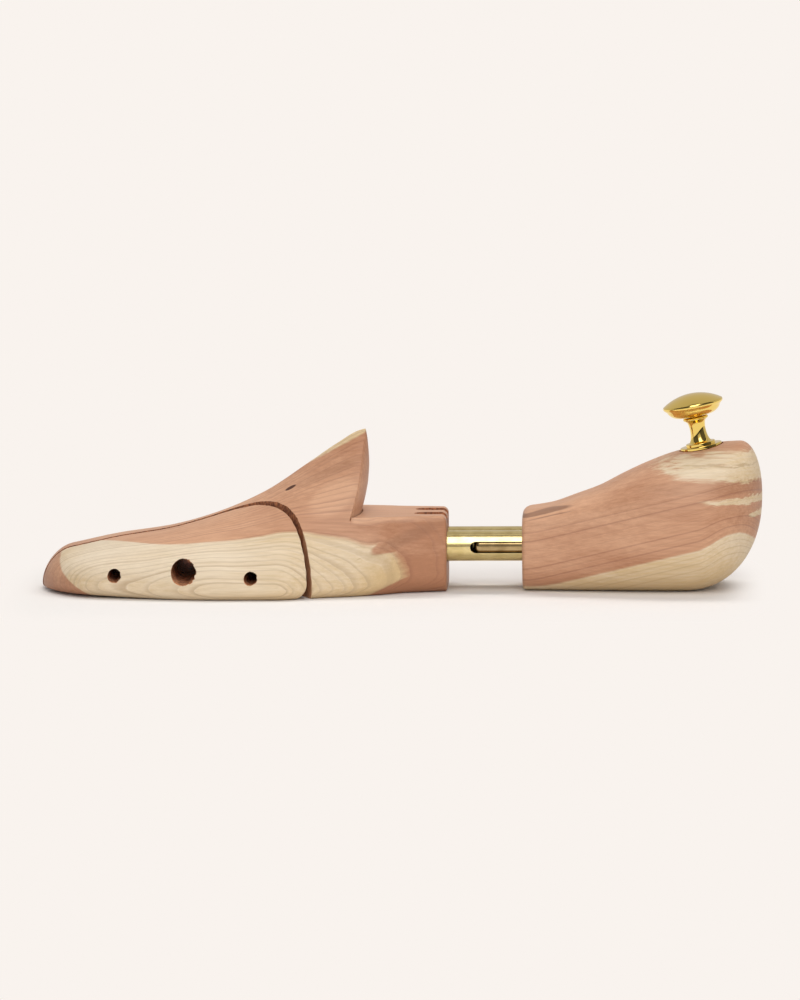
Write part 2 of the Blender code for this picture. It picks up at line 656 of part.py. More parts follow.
def make_brad(name, x, y, tip_z, collection):
    """Make the brad that is driven up into a tube from below."""
    head_z = BRAD_SINK
    neck_z = head_z + BRAD_HEAD_LENGTH
    profile = [(0, tip_z), (BRAD_DIAMETER / 2, tip_z - BRAD_TIP_LENGTH), (BRAD_DIAMETER / 2, neck_z),
               (BRAD_HEAD_DIAMETER / 2, neck_z), (BRAD_HEAD_DIAMETER / 2, head_z), (0, head_z)]
    return make_turned(name, profile, False, (x, y, 0), UPRIGHT, TINY_ROUND_STEPS, collection)


# Wooden pieces
def forepart_blank(name, collection):
    """Loft the whole forepart, with the peak's ridge carried on over the neck."""
    angles = np.linspace(0, math.pi / 2, TOE_STEPS + 1)[1:]
    toe = TOE_PLAN_ROUNDING * (1 - np.cos(angles))
    instep = np.linspace(TOE_PLAN_ROUNDING, PEAK_DISTANCE, FOREPART_STEPS + 1)[1:]
    neck = np.linspace(PEAK_DISTANCE, FOREPART_LENGTH - END_EDGE_RADIUS, NECK_STEPS + 1)[1:]
    rings = [forepart_ring(distance, 0) for distance in (*toe, *instep, *neck)]
    for angle in (math.pi / 4, math.pi / 2):
        distance = FOREPART_LENGTH - END_EDGE_RADIUS * (1 - math.sin(angle))
        rings.append(forepart_ring(distance, END_EDGE_RADIUS * (1 - math.cos(angle))))
    tip = (TOE_X, TOE_OFFSET, TOE_TIP_HEIGHT)
    return add_object(name, mesh_from_rings(name, rings[::-1], tip), collection)


def make_forepart(parts, cutters):
    """Make the body and the wing from the same blank, with their holes."""
    body = forepart_blank("forepart_body", parts)
    wing = forepart_blank("toe_wing", parts)
    vents = vent_cutters(cutters)
    pin_holes = []
    bush_holes = []
    for name, place in GUIDES.items():
        x = TOE_X + place
        bush_holes.append(make_rod(name + "_bush_cutter", GUIDE_BUSH_RADIUS + FIT_GAP,
                                   GUIDE_BUSH_LENGTH + FIT_GAP + OVERRUN,
                                   (x, BODY_FACE_Y - OVERRUN, GUIDE_HEIGHT), ALONG_Y,
                                   SMALL_ROUND_STEPS, cutters))
        pin_depth = GUIDE_PIN_GRIP + FIT_GAP
        pin_holes.append(make_rod(name + "_pin_cutter", GUIDE_PIN_DIAMETER / 2 + FIT_GAP,
                                  pin_depth + OVERRUN, (x, WING_FACE_Y - pin_depth, GUIDE_HEIGHT), ALONG_Y,
                                  SMALL_ROUND_STEPS, cutters))
        pin_holes.append(make_rod(name + "_pocket_cutter", WING_SPRING_OUTER_RADIUS + FIT_GAP,
                                  WING_SPRING_POCKET + OVERRUN,
                                  (x, WING_FACE_Y - WING_SPRING_POCKET, GUIDE_HEIGHT), ALONG_Y,
                                  SMALL_ROUND_STEPS, cutters))
    tube_holes = []
    for side, sign in SIDES.items():
        start = (TUBE_FRONT_X - FIT_GAP, sign * TUBE_OFFSET, TUBE_HEIGHT)
        tube_holes.append(make_rod(side + "_neck_bore_cutter", TUBE_BORE_RADIUS,
                                   FOREPART_GRIP + FIT_GAP + OVERRUN, start, ALONG_X, ROUND_STEPS, cutters))
        tube_holes.append(groove_cutter(side + "_groove_cutter", sign * TUBE_OFFSET, cutters))
    brad_holes = brad_cutters("neck_brad", NECK_BRAD_X, TUBE_HEIGHT - TUBE_INSIDE_RADIUS, cutters)
    cut(body, [wing_region("body_side_cutter", KERF_WIDTH, cutters), notch_cutter(cutters)])
    cut(body, vents + bush_holes + tube_holes + brad_holes)
    cut(wing, [wing_region("wing_side_cutter", 0, cutters)], "INTERSECT")
    cut(wing, vents + pin_holes)
    return body, wing, brad_holes


def make_heel(parts, cutters):
    """Loft the heel block and drill it for the tubes, the brads and the knob."""
    front = [heel_ring(0, HEEL_FRONT_EDGE_RADIUS)]
    for angle in (math.pi / 6, math.pi / 3, math.pi / 2):
        front.append(heel_ring(HEEL_FRONT_EDGE_RADIUS * (1 - math.cos(angle)),
                               HEEL_FRONT_EDGE_RADIUS * (1 - math.sin(angle))))
    back_start = HEEL_LENGTH - HEEL_BACK_SOLE_ROUNDING
    middle = np.linspace(HEEL_FRONT_EDGE_RADIUS, back_start, HEEL_STEPS + 1)[1:]
    angles = np.linspace(math.pi / 2, 0, HEEL_BACK_STEPS + 1)[1:-1]
    back = HEEL_LENGTH - HEEL_BACK_SOLE_ROUNDING * (1 - np.cos(angles))
    rings = front + [heel_ring(distance, 0) for distance in (*middle, *back)]
    mesh = mesh_from_rings("heel_block", rings, (HEEL_BACK_X, 0, HEEL_BACK_HEIGHT))
    heel = add_object("heel_block", mesh, parts)
    holes = []
    for side, sign in SIDES.items():
        y = sign * TUBE_OFFSET
        start_x = HEEL_FRONT_X - OVERRUN
        wide_length = WIDE_BORE_BACK_X - start_x
        narrow_length = INNER_BACK_X + FIT_GAP - start_x
        holes.append(make_rod(side + "_wide_bore_cutter", TUBE_BORE_RADIUS, wide_length,
                              (start_x, y, TUBE_HEIGHT), ALONG_X, ROUND_STEPS, cutters))
        holes.append(make_rod(side + "_narrow_bore_cutter", INNER_BORE_RADIUS, narrow_length,
                              (start_x, y, TUBE_HEIGHT), ALONG_X, ROUND_STEPS, cutters))
    brad_holes = brad_cutters("heel_brad", HEEL_BRAD_X, TUBE_HEIGHT - INNER_INSIDE_RADIUS, cutters)
    seat = knob_place(0)
    facing = make_rod("knob_seat_cutter", FLANGE_RADIUS + KNOB_SEAT_ROOM, KNOB_HEIGHT, seat,
                      (0, -KNOB_TILT, 0), ROUND_STEPS, cutters)
    depth = KNOB_SCREW_DEPTH + FIT_GAP
    screw_hole = make_rod("knob_screw_cutter", KNOB_SCREW_DIAMETER / 2 + FIT_GAP, depth + OVERRUN,
                          knob_place(-depth), (0, -KNOB_TILT, 0), SMALL_ROUND_STEPS, cutters)
    cut(heel, holes + brad_holes + [facing, screw_hole])
    return heel, brad_holes


# Tubes and what is in them
def make_tube_set(side, sign, neck_brads, heel_brads, parts, cutters):
    """Make one side's outer tube, inner tube, spring, plug and stop pin."""
    y = sign * TUBE_OFFSET
    length = TUBE_BACK_X - TUBE_FRONT_X
    wall = [(TUBE_RADIUS, length), (TUBE_RADIUS, 0), (TUBE_INSIDE_RADIUS, 0), (TUBE_INSIDE_RADIUS, length)]
    outer = make_turned("outer_tube_" + side, wall, True, (TUBE_FRONT_X, y, TUBE_HEIGHT), ALONG_X,
                        ROUND_STEPS, parts)
    half_slot = SLOT_WIDTH / 2
    front = arc_points((SLOT_FRONT_X + half_slot, TUBE_HEIGHT), half_slot, half_slot, math.pi / 2,
                       math.pi * 3 / 2, CURVE_STEPS)
    back = arc_points((SLOT_BACK_X - half_slot, TUBE_HEIGHT), half_slot, half_slot, -math.pi / 2,
                      math.pi / 2, CURVE_STEPS)
    reach = TUBE_RADIUS + OVERRUN
    low = y if sign > 0 else y - reach
    slot = make_prism(side + "_slot_cutter", front + back, low, low + reach, True, cutters)
    cut(outer, [slot] + [hole for hole in neck_brads if side in hole.name and "shank" in hole.name])

    nose = arc_points((INNER_RADIUS - NOSE_RADIUS, NOSE_RADIUS), NOSE_RADIUS, NOSE_RADIUS, 0,
                      -math.pi / 2, CURVE_STEPS // 2)
    inner_length = INNER_BACK_X - INNER_FRONT_X
    profile = [(0, TUBE_WALL), (INNER_INSIDE_RADIUS - TUBE_WALL, TUBE_WALL),
               (INNER_INSIDE_RADIUS, NOSE_RADIUS), (INNER_INSIDE_RADIUS, inner_length),
               (INNER_RADIUS, inner_length), *nose, (0, 0)]
    inner = make_turned("inner_tube_" + side, profile, False, (INNER_FRONT_X, y, TUBE_HEIGHT), ALONG_X,
                        ROUND_STEPS, parts)
    pin_hole = make_rod(side + "_stop_cutter", STOP_PIN_RADIUS + FIT_GAP, TUBE_DIAMETER,
                        (STOP_X, y - TUBE_RADIUS, TUBE_HEIGHT), ALONG_Y, SMALL_ROUND_STEPS, cutters)
    cut(inner, [pin_hole] + [hole for hole in heel_brads if side in hole.name and "shank" in hole.name])

    pin_out = TUBE_RADIUS - STOP_PIN_RECESS
    pin_in = INNER_RADIUS - STOP_PIN_END_RECESS
    pin_low = y - (pin_out if sign < 0 else pin_in)
    stop = make_rod("stop_pin_" + side, STOP_PIN_RADIUS, pin_out + pin_in, (STOP_X, pin_low, TUBE_HEIGHT),
                    ALONG_Y, SMALL_ROUND_STEPS, parts)
    plug = make_rod("spring_plug_" + side, INNER_RADIUS, PLUG_LENGTH, (TUBE_FRONT_X, y, TUBE_HEIGHT),
                    ALONG_X, ROUND_STEPS, parts)
    spring_radius = TUBE_INSIDE_RADIUS - FIT_GAP - TUBE_SPRING_WIRE / 2
    spring_start = PLUG_BACK_X + FIT_GAP
    spring = make_spring("tube_spring_" + side, spring_radius, TUBE_SPRING_WIRE, TUBE_SPRING_TURNS,
                         INNER_FRONT_X - FIT_GAP - spring_start, (spring_start, y, TUBE_HEIGHT), ALONG_X,
                         parts)
    return {"outer": outer, "inner": inner, "stop": stop, "plug": plug, "spring": spring}


# Wing guides
def make_guide(name, place, parts):
    """Make one guide pin with its bush and spring."""
    x = TOE_X + place
    pin_start = WING_FACE_Y - GUIDE_PIN_GRIP
    head_start = BODY_FACE_Y + GUIDE_BUSH_LIP + FIT_GAP - pin_start
    pin_end = head_start + GUIDE_HEAD_LENGTH
    pin_profile = [(0, pin_end), (GUIDE_HEAD_RADIUS, pin_end), (GUIDE_HEAD_RADIUS, head_start),
                   (GUIDE_PIN_RADIUS, head_start), (GUIDE_PIN_RADIUS, 0), (0, 0)]
    pin = make_turned("guide_pin_" + name, pin_profile, False, (x, pin_start, GUIDE_HEIGHT), ALONG_Y,
                      SMALL_ROUND_STEPS, parts)
    lip_radius = GUIDE_PIN_RADIUS + FIT_GAP
    bush_profile = [(GUIDE_BUSH_RADIUS, GUIDE_BUSH_LENGTH), (GUIDE_BUSH_RADIUS, 0), (lip_radius, 0),
                    (lip_radius, GUIDE_BUSH_LIP), (GUIDE_BUSH_INSIDE_RADIUS, GUIDE_BUSH_LIP),
                    (GUIDE_BUSH_INSIDE_RADIUS, GUIDE_BUSH_LENGTH)]
    bush = make_turned("guide_bush_" + name, bush_profile, True, (x, BODY_FACE_Y, GUIDE_HEIGHT), ALONG_Y,
                       SMALL_ROUND_STEPS, parts)
    spring_start = WING_FACE_Y - WING_SPRING_POCKET + FIT_GAP
    spring = make_spring("wing_spring_" + name, WING_SPRING_DIAMETER / 2, WING_SPRING_WIRE,
                         WING_SPRING_TURNS, BODY_FACE_Y - FIT_GAP - spring_start,
                         (x, spring_start, GUIDE_HEIGHT), ALONG_Y, parts)
    return {"pin": pin, "bush": bush, "spring": spring}


# Knob
def knob_place(height):
    """Return the point on the knob's axis at a height above its seat on the heel."""
    distance = HEEL_LENGTH - KNOB_SETBACK
    seat = Vector((HEEL_FRONT_X + distance, 0, float(heel_top(distance)) - KNOB_SEAT_DEPTH))
    return seat + height * Vector((-math.sin(KNOB_TILT), 0, math.cos(KNOB_TILT)))


def knob_profile():
    """Return the knob's outline from the dome's top down to the flange, then up its screw hole."""
    dome = arc_points((0, RIM_HEIGHT), RIM_RADIUS, KNOB_HEIGHT - RIM_HEIGHT, math.pi / 2, 0, CURVE_STEPS)
    cup = arc_points((BEAD_RADIUS + BEAD_THICKNESS, RIM_HEIGHT), RIM_RADIUS - BEAD_RADIUS - BEAD_THICKNESS,
                     RIM_HEIGHT - BEAD_HEIGHT - BEAD_THICKNESS, 0, -math.pi / 2, CURVE_STEPS // 2)[1:]
    bead = arc_points((BEAD_RADIUS - BEAD_THICKNESS / 2, BEAD_HEIGHT), BEAD_THICKNESS / 2,
                      BEAD_THICKNESS / 2, math.pi / 2, -math.pi / 2, CURVE_STEPS // 2)
    stem_top = BEAD_HEIGHT - BEAD_THICKNESS
    upper = arc_points((BEAD_RADIUS - BEAD_THICKNESS, STEM_HEIGHT), BEAD_RADIUS - BEAD_THICKNESS - STEM_RADIUS,
                       stem_top - STEM_HEIGHT, math.pi / 2, math.pi, CURVE_STEPS // 2)
    lower = arc_points((STEM_FOOT_RADIUS, STEM_HEIGHT), STEM_FOOT_RADIUS - STEM_RADIUS,
                       STEM_HEIGHT - STEP_HEIGHT, math.pi, math.pi * 3 / 2, CURVE_STEPS // 2)[1:]
    step = [(STEP_RADIUS, STEP_HEIGHT), (STEP_RADIUS, FLANGE_HEIGHT), (FLANGE_RADIUS, FLANGE_HEIGHT),
            (FLANGE_RADIUS, 0)]
    hole_radius = KNOB_SCREW_DIAMETER / 2 + FIT_GAP
    hole_top = KNOB_SCREW_RISE + FIT_GAP
    return dome + cup + bead + upper + lower + step + [(hole_radius, 0), (hole_radius, hole_top), (0, hole_top)]


def make_knob(parts):
    """Make the turned knob and the stud that holds it."""
    knob = make_turned("knob", knob_profile(), False, knob_place(FIT_GAP), (0, -KNOB_TILT, 0),
                       ROUND_STEPS, parts)
    length = KNOB_SCREW_DEPTH + KNOB_SCREW_RISE
    radius = KNOB_SCREW_DIAMETER / 2
    end_radius = radius - KNOB_SCREW_CHAMFER
    profile = [(0, length), (end_radius, length), (radius, length - KNOB_SCREW_CHAMFER),
               (radius, KNOB_SCREW_CHAMFER), (end_radius, 0), (0, 0)]
    screw = make_turned("knob_screw", profile, False, knob_place(-KNOB_SCREW_DEPTH), (0, -KNOB_TILT, 0),
                        SMALL_ROUND_STEPS, parts)
    return knob, screw


def carry(name, place, pieces, collection):
    """Parent the pieces of a moving body to an empty on its slide's axis."""
    slide = bpy.data.objects.new(name, None)
    slide.location = place
    collection.objects.link(slide)
    bpy.context.view_layer.update()
    for piece in pieces:
        piece.parent = slide
        piece.matrix_parent_inverse = slide.matrix_world.inverted()


def main():
    """Build the shoe tree."""
    clear_scene()
    parts = new_collection("cedar_shoe_tree")
    cutters = new_collection("cutters")
    body, wing, neck_brads = make_forepart(parts, cutters)
    heel, heel_brads = make_heel(parts, cutters)
    looks = {body: "body_cedar", wing: "wing_cedar", heel: "heel_cedar"}
    heel_pieces = [heel]
    for side, sign in SIDES.items():
        tubes = make_tube_set(side, sign, neck_brads, heel_brads, parts, cutters)
        looks[tubes["outer"]] = "drawn_brass"
        looks[tubes["inner"]] = "inner_brass"
        looks[tubes["plug"]] = "pin_steel"
        looks[tubes["stop"]] = "pin_steel"
        looks[tubes["spring"]] = "spring_steel"
        neck_brad = make_brad("forepart_brad_" + side, NECK_BRAD_X, sign * TUBE_OFFSET,
                              TUBE_HEIGHT - TUBE_INSIDE_RADIUS - FIT_GAP, parts)
        heel_brad = make_brad("heel_brad_" + side, HEEL_BRAD_X, sign * TUBE_OFFSET,
                              TUBE_HEIGHT - INNER_INSIDE_RADIUS - FIT_GAP, parts)
        looks[neck_brad] = "pin_steel"
        looks[heel_brad] = "pin_steel"
        heel_pieces += [tubes["inner"], tubes["stop"], heel_brad]
    wing_pieces = [wing]
    for name, place in GUIDES.items():
        guide = make_guide(name, place, parts)
        looks[guide["pin"]] = "pin_steel"
        looks[guide["bush"]] = "bush_brass"
        looks[guide["spring"]] = "spring_steel"
        wing_pieces.append(guide["pin"])
    knob, screw = make_knob(parts)
    looks[knob] = "polished_brass"
    looks[screw] = "pin_steel"
    heel_pieces += [knob, screw]
    for piece, look in looks.items():
        piece.data.materials.append(material_for(piece.name, look))
        if piece.type == "MESH":
            smooth(piece)
    carry("heel_slide", (HEEL_FRONT_X, 0, TUBE_HEIGHT), heel_pieces, parts)
    carry("wing_slide", (TOE_X + REAR_GUIDE_PLACE, WING_FACE_Y, GUIDE_HEIGHT), wing_pieces, parts)
    hide_cutters(cutters)


main()
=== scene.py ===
"""Cedar shoe tree for a left shoe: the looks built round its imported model.

Metres, +Z up. The toe points to -X, the heel to +X and the outer side of the foot to -Y.
The wooden blocks, the tubes, the knob and the springs are surfaces worked out with numpy
from the same sizes as the solids. Cutters then saw, bore and slot the blocks and the tubes.
The small steel and brass fittings keep their solids and get a finish of their own.
"""

import json
import logging
import math
from collections.abc import Sequence
from dataclasses import dataclass
from enum import Enum
from functools import reduce

import bmesh
import bpy
import numpy as np
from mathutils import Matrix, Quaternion, Vector

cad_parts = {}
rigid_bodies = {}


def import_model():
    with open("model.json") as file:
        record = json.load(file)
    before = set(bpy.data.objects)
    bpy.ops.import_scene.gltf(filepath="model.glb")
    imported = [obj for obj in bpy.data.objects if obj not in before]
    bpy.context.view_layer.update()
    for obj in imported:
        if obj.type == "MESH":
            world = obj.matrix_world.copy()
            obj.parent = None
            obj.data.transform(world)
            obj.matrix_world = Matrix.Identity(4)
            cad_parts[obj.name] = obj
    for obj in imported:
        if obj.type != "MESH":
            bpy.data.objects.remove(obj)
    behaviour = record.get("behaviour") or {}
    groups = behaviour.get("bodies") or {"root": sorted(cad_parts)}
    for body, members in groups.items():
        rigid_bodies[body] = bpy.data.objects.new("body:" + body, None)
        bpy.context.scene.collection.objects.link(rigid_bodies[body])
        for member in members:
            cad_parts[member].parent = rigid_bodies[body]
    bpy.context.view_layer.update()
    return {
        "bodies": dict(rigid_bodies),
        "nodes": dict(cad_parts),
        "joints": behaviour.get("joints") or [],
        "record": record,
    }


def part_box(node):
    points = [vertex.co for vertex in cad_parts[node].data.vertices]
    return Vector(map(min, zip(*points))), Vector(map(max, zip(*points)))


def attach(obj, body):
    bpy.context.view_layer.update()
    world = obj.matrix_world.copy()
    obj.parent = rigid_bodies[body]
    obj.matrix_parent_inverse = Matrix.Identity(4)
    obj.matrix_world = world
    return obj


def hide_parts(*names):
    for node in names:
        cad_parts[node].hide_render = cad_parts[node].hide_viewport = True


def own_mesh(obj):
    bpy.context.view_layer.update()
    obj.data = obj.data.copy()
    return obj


log = logging.getLogger("shoe_tree")

Table = tuple[tuple[float, float], ...]
Colour = tuple[float, float, float]
Point = tuple[float, float, float]
Socket = bpy.types.NodeSocket
Piece = bpy.types.Object
Pieces = dict[str, bpy.types.Object]
Finish = bpy.types.Material
Finishes = dict[str, bpy.types.Material]

OVERRUN = 0.003
FIT_GAP = 0.0003
MERGE_DISTANCE = 0.000001
SHARP_ANGLE = math.radians(33)
ALONG_X = (1.0, 0.0, 0.0)
ALONG_Y = (0.0, 1.0, 0.0)
ALONG_Z = (0.0, 0.0, 1.0)
MM_PER_M = 1000.0
GROWTH_OUTPUTS = {"Ring": "Float", "Sap": "Float", "Tone": "Float", "Line": "Float", "Stain": "Float"}
LOOK_OUTPUTS = {"Color": "Color", "Roughness": "Float", "Height": "Float"}


class Side(Enum):
    """The outer and inner side of the foot, with the sign of their Y."""

    LATERAL = -1
    MEDIAL = 1


class Surface(Enum):
    """How a face of the wood was worked."""

    SANDED = "sanded"
    SAWN = "sawn"
    BORED = "bored"


class Block(Enum):
    """The two pieces of timber that the wooden parts were cut from."""

    FOREPART = "forepart"
    HEEL = "heel"


class Cut(Enum):
    """What a cutter leaves of a piece."""

    OUTSIDE = "DIFFERENCE"
    INSIDE = "INTERSECT"


class Axis(Enum):
    """A direction that a joint moves in, with its place in a point."""

    X = 0
    Y = 1


class End(Enum):
    """The low or the high end along an axis, with its place in a pair."""

    LOW = 0
    HIGH = 1


# Curves and arcs
def read_table(table: Sequence[Sequence[float]], places: np.ndarray | float) -> np.ndarray:
    """Read a table with a monotone cubic curve: Hermite arcs with harmonic mean slopes.

    Args:
        table: Pairs of place and value, with rising places.
        places: Where to read it; places outside the table take its end values.

    Returns:
        The values, in the shape of places.
    """
    knots, values = np.array(table, dtype=float).T
    places = np.clip(np.asarray(places, dtype=float), knots[0], knots[-1])
    steps = np.diff(knots)
    slopes = np.diff(values) / steps
    before, after = slopes[:-1], slopes[1:]
    same_way = before * after > 0
    tangents = np.empty(len(knots))
    tangents[0], tangents[-1] = slopes[0], slopes[-1]
    tangents[1:-1] = np.where(same_way, 2 * before * after / np.where(same_way, before + after, 1), 0)
    index = np.clip(np.searchsorted(knots, places, side="right") - 1, 0, len(steps) - 1)
    part = (places - knots[index]) / steps[index]
    level = values[index] + (values[index + 1] - values[index]) * part * part * (3 - 2 * part)
    bend_in = part * (1 - part) ** 2 * steps[index] * tangents[index]
    bend_out = part * part * (part - 1) * steps[index] * tangents[index + 1]
    return level + bend_in + bend_out


def rounding(distance: np.ndarray | float, reach: float, power: float) -> np.ndarray:
    """Rise from 0 to 1 over the reach, as the quarter of a superellipse.

    Args:
        distance: Distances from the edge that is rounded.
        reach: Distance at which the curve is back at 1.
        power: Power of the superellipse; 2 is a circle's quarter.

    Returns:
        Shares from 0 to 1.
    """
    left = 1 - np.clip(np.asarray(distance, dtype=float) / reach, 0, 1)
    return (1 - left**power) ** (1 / power)


def arc(centre: Sequence[float], radii: Sequence[float], start: float, end: float, steps: int) -> np.ndarray:
    """Return points of an elliptic arc: centre plus radii times the cosine and sine of the angle.

    Args:
        centre: Centre in the plane.
        radii: The two half axes.
        start: First angle in radians.
        end: Last angle in radians.
        steps: Number of steps between the two.

    Returns:
        Points in the plane, one row each.
    """
    angles = np.linspace(start, end, steps + 1)
    return np.stack([centre[0] + radii[0] * np.cos(angles), centre[1] + radii[1] * np.sin(angles)], axis=1)


def ripple(seed: int, along: np.ndarray, across: np.ndarray, shortest: float, waves: int = 14) -> np.ndarray:
    """Return a seeded rough field: a sum of sines of both parameters with random turns and phases.

    Args:
        seed: Seed of the random numbers.
        along: First parameter.
        across: Second parameter, of a shape that broadcasts with the first.
        shortest: Shortest wave length.
        waves: Number of sines.

    Returns:
        Values of about -1 to 1.
    """
    rng = np.random.default_rng(seed)
    total = np.zeros(np.broadcast(along, across).shape)
    for _ in range(waves):
        length = shortest * rng.uniform(1, 4)
        turn, phase = rng.uniform(0, math.pi), rng.uniform(0, 2 * math.pi)
        total += np.sin(2 * math.pi / length * (along * math.cos(turn) + across * math.sin(turn)) + phase)
    return total / math.sqrt(waves)


# Surfaces
def add_object(name: str, data: bpy.types.ID) -> Piece:
    """Make an object of a mesh, a light or a camera and link it to the scene.

    Args:
        name: Name of the object.
        data: What it shows.

    Returns:
        The object.
    """
    made = bpy.data.objects.new(name, data)
    bpy.context.scene.collection.objects.link(made)
    return made


def shade(mesh: bpy.types.Mesh) -> None:
    """Shade a mesh smooth between its sharp edges."""
    mesh.shade_smooth()
    mesh.set_sharp_from_angle(angle=SHARP_ANGLE)


def finish_mesh(mesh: bpy.types.Mesh) -> bpy.types.Mesh:
    """Merge doubled points, turn every face outwards and shade smooth between sharp edges.

    Args:
        mesh: The mesh, changed in place.

    Returns:
        The same mesh.
    """
    shell = bmesh.new()
    shell.from_mesh(mesh)
    bmesh.ops.remove_doubles(shell, verts=shell.verts, dist=MERGE_DISTANCE)
    bmesh.ops.recalc_face_normals(shell, faces=shell.faces)
    shell.to_mesh(mesh)
    shell.free()
    shade(mesh)
    return mesh


def ring_surface(name: str, rings: np.ndarray, pole: Sequence[float] | None = None, wrap: bool = False) -> Piece:
    """Skin a grid of points whose rows are closed rings.

    The point of row i and column j joins those of the next row and the next column; the last
    column joins the first. The end rows are closed by flat faces, by a pole, or by each other.

    Args:
        name: Name of the object and its mesh.
        rings: Array of rows, columns and coordinates.
        pole: Point that closes the last row.
        wrap: Whether the last row joins the first.

    Returns:
        The object, linked to the scene.
    """
    count, size = rings.shape[:2]
    points = rings.reshape(-1, 3)
    columns = np.arange(size)
    beside = (columns + 1) % size
    rows = np.arange(count if wrap else count - 1)[:, None]
    low, high = rows * size, (rows + 1) % count * size
    quads = np.stack([low + columns, low + beside, high + beside, high + columns], axis=-1)
    faces = quads.reshape(-1, 4).tolist()
    last = (count - 1) * size
    if not wrap:
        faces.append(columns[::-1].tolist())
        if pole is None:
            faces.append((last + columns).tolist())
    if pole is not None:
        points = np.vstack([points, pole])
        faces += np.stack([last + columns, last + beside, np.full(size, len(points) - 1)], axis=1).tolist()
    mesh = bpy.data.meshes.new(name)
    mesh.from_pydata(points.tolist(), [], faces)
    return add_object(name, finish_mesh(mesh))


def turned(
    name: str, profile: Sequence[Sequence[float]], origin: Sequence[float], axis: Sequence[float], steps: int,
    closed: bool = False,
) -> Piece:
    """Turn a profile about an axis: radius times a unit circle, plus height times the axis.

    Args:
        name: Name of the object.
        profile: Rows of radius and height above the origin.
        origin: Point on the axis.
        axis: Unit vector of the axis.
        steps: Points round the axis.
        closed: Whether the profile's last point joins its first.

    Returns:
        The turned object.
    """
    along = np.array(axis, dtype=float)
    first = np.cross(along, ALONG_Y if abs(along[1]) < 0.5 else ALONG_Z)
    first /= np.linalg.norm(first)
    second = np.cross(along, first)
    angles = np.linspace(0, 2 * math.pi, steps, endpoint=False)
    circle = np.cos(angles)[:, None] * first + np.sin(angles)[:, None] * second
    radius, height = np.array(profile, dtype=float).T
    rings = np.array(origin) + radius[:, None, None] * circle + height[:, None, None] * along
    return ring_surface(name, rings, wrap=closed)


def prism(name: str, outline: np.ndarray, low: float, high: float) -> Piece:
    """Carry an outline of X and Z along Y.

    Args:
        name: Name of the object.
        outline: Rows of X and Z.
        low: Lowest Y.
        high: Highest Y.

    Returns:
        The prism.
    """
    x, z = np.asarray(outline, dtype=float).T
    rings = np.stack([np.column_stack([x, np.full(len(x), y), z]) for y in (low, high)])
    return ring_surface(name, rings)


def joined(name: str, pieces: Sequence[Piece]) -> Piece:
    """Put the meshes of several pieces that don't touch into one object, and drop the pieces.

    Args:
        name: Name of the object.
        pieces: The pieces.

    Returns:
        The object.
    """
    shell = bmesh.new()
    for piece in pieces:
        shell.from_mesh(piece.data)
    mesh = bpy.data.meshes.new(name)
    shell.to_mesh(mesh)
    shell.free()
    for piece in pieces:
        bpy.data.objects.remove(piece)
    return add_object(name, mesh)


def carve(piece: Piece, cutter: Piece, finish: Finish, leaves: Cut = Cut.OUTSIDE) -> None:
    """Cut a piece with a cutter whose finish the new faces take, apply the cut and drop the cutter.

    Args:
        piece: The piece, whose mesh is replaced.
        cutter: Closed cutter, removed afterwards.
        finish: Material of the faces that the cut makes.
        leaves: What stays of the piece.
    """
    cutter.data.materials.clear()
    cutter.data.materials.append(finish)
    boolean = piece.modifiers.new(cutter.name, "BOOLEAN")
    boolean.operation = leaves.value
    boolean.solver = "EXACT"
    boolean.material_mode = "TRANSFER"
    boolean.object = cutter
    graph = bpy.context.evaluated_depsgraph_get()
    mesh = bpy.data.meshes.new_from_object(piece.evaluated_get(graph))
    mesh.name = piece.name
    piece.modifiers.clear()
    piece.data = mesh
    bpy.data.objects.remove(cutter)
    shade(mesh)


def section_rings(
    sides: tuple[np.ndarray, np.ndarray, np.ndarray], heights: tuple[np.ndarray, np.ndarray, np.ndarray],
    flat_share: np.ndarray, powers: tuple[np.ndarray, np.ndarray, float], steps: tuple[int, int],
) -> np.ndarray:
    """Return cross-sections, each a ring of Y and Z from the ridge down one side and up the other.

    Each side is a superellipse from the ridge to the widest level, y = cos(t) ** (2 / ridge power)
    and z = sin(t) ** (2 / slope power), then the quarter of another down to the flat sole.

    Args:
        sides: Near side, far side and ridge, one value for each section.
        heights: Bottom, top and widest level.
        flat_share: Share of the half width that is flat at the bottom.
        powers: Ridge power, slope power and the lower edge's power.
        steps: Steps of the crown and of the lower edge.

    Returns:
        Array of sections, points and the two coordinates.
    """
    near, far, ridge = (value[:, None] for value in sides)
    bottom, top, level = (value[:, None] for value in heights)
    flat = flat_share[:, None]
    crown = np.linspace(math.pi / 2, 0, steps[0] + 1)
    edge = np.linspace(0, math.pi / 2, steps[1] + 1)[1:]
    crown_reach = np.cos(crown).clip(0) ** (2 / powers[0][:, None])
    crown_height = level + (top - level) * np.sin(crown) ** (2 / powers[1][:, None])
    edge_reach = flat + (1 - flat) * np.cos(edge).clip(0) ** (2 / powers[2])
    edge_height = level - (level - bottom) * np.sin(edge) ** (2 / powers[2])
    reach = np.concatenate([crown_reach, edge_reach], axis=1)
    height = np.concatenate([crown_height, edge_height], axis=1)
    near_side = np.stack([ridge - (ridge - near) * reach, height], axis=2)
    far_side = np.stack([ridge + (far - ridge) * reach, height], axis=2)
    return np.concatenate([near_side, far_side[:, :0:-1]], axis=1)


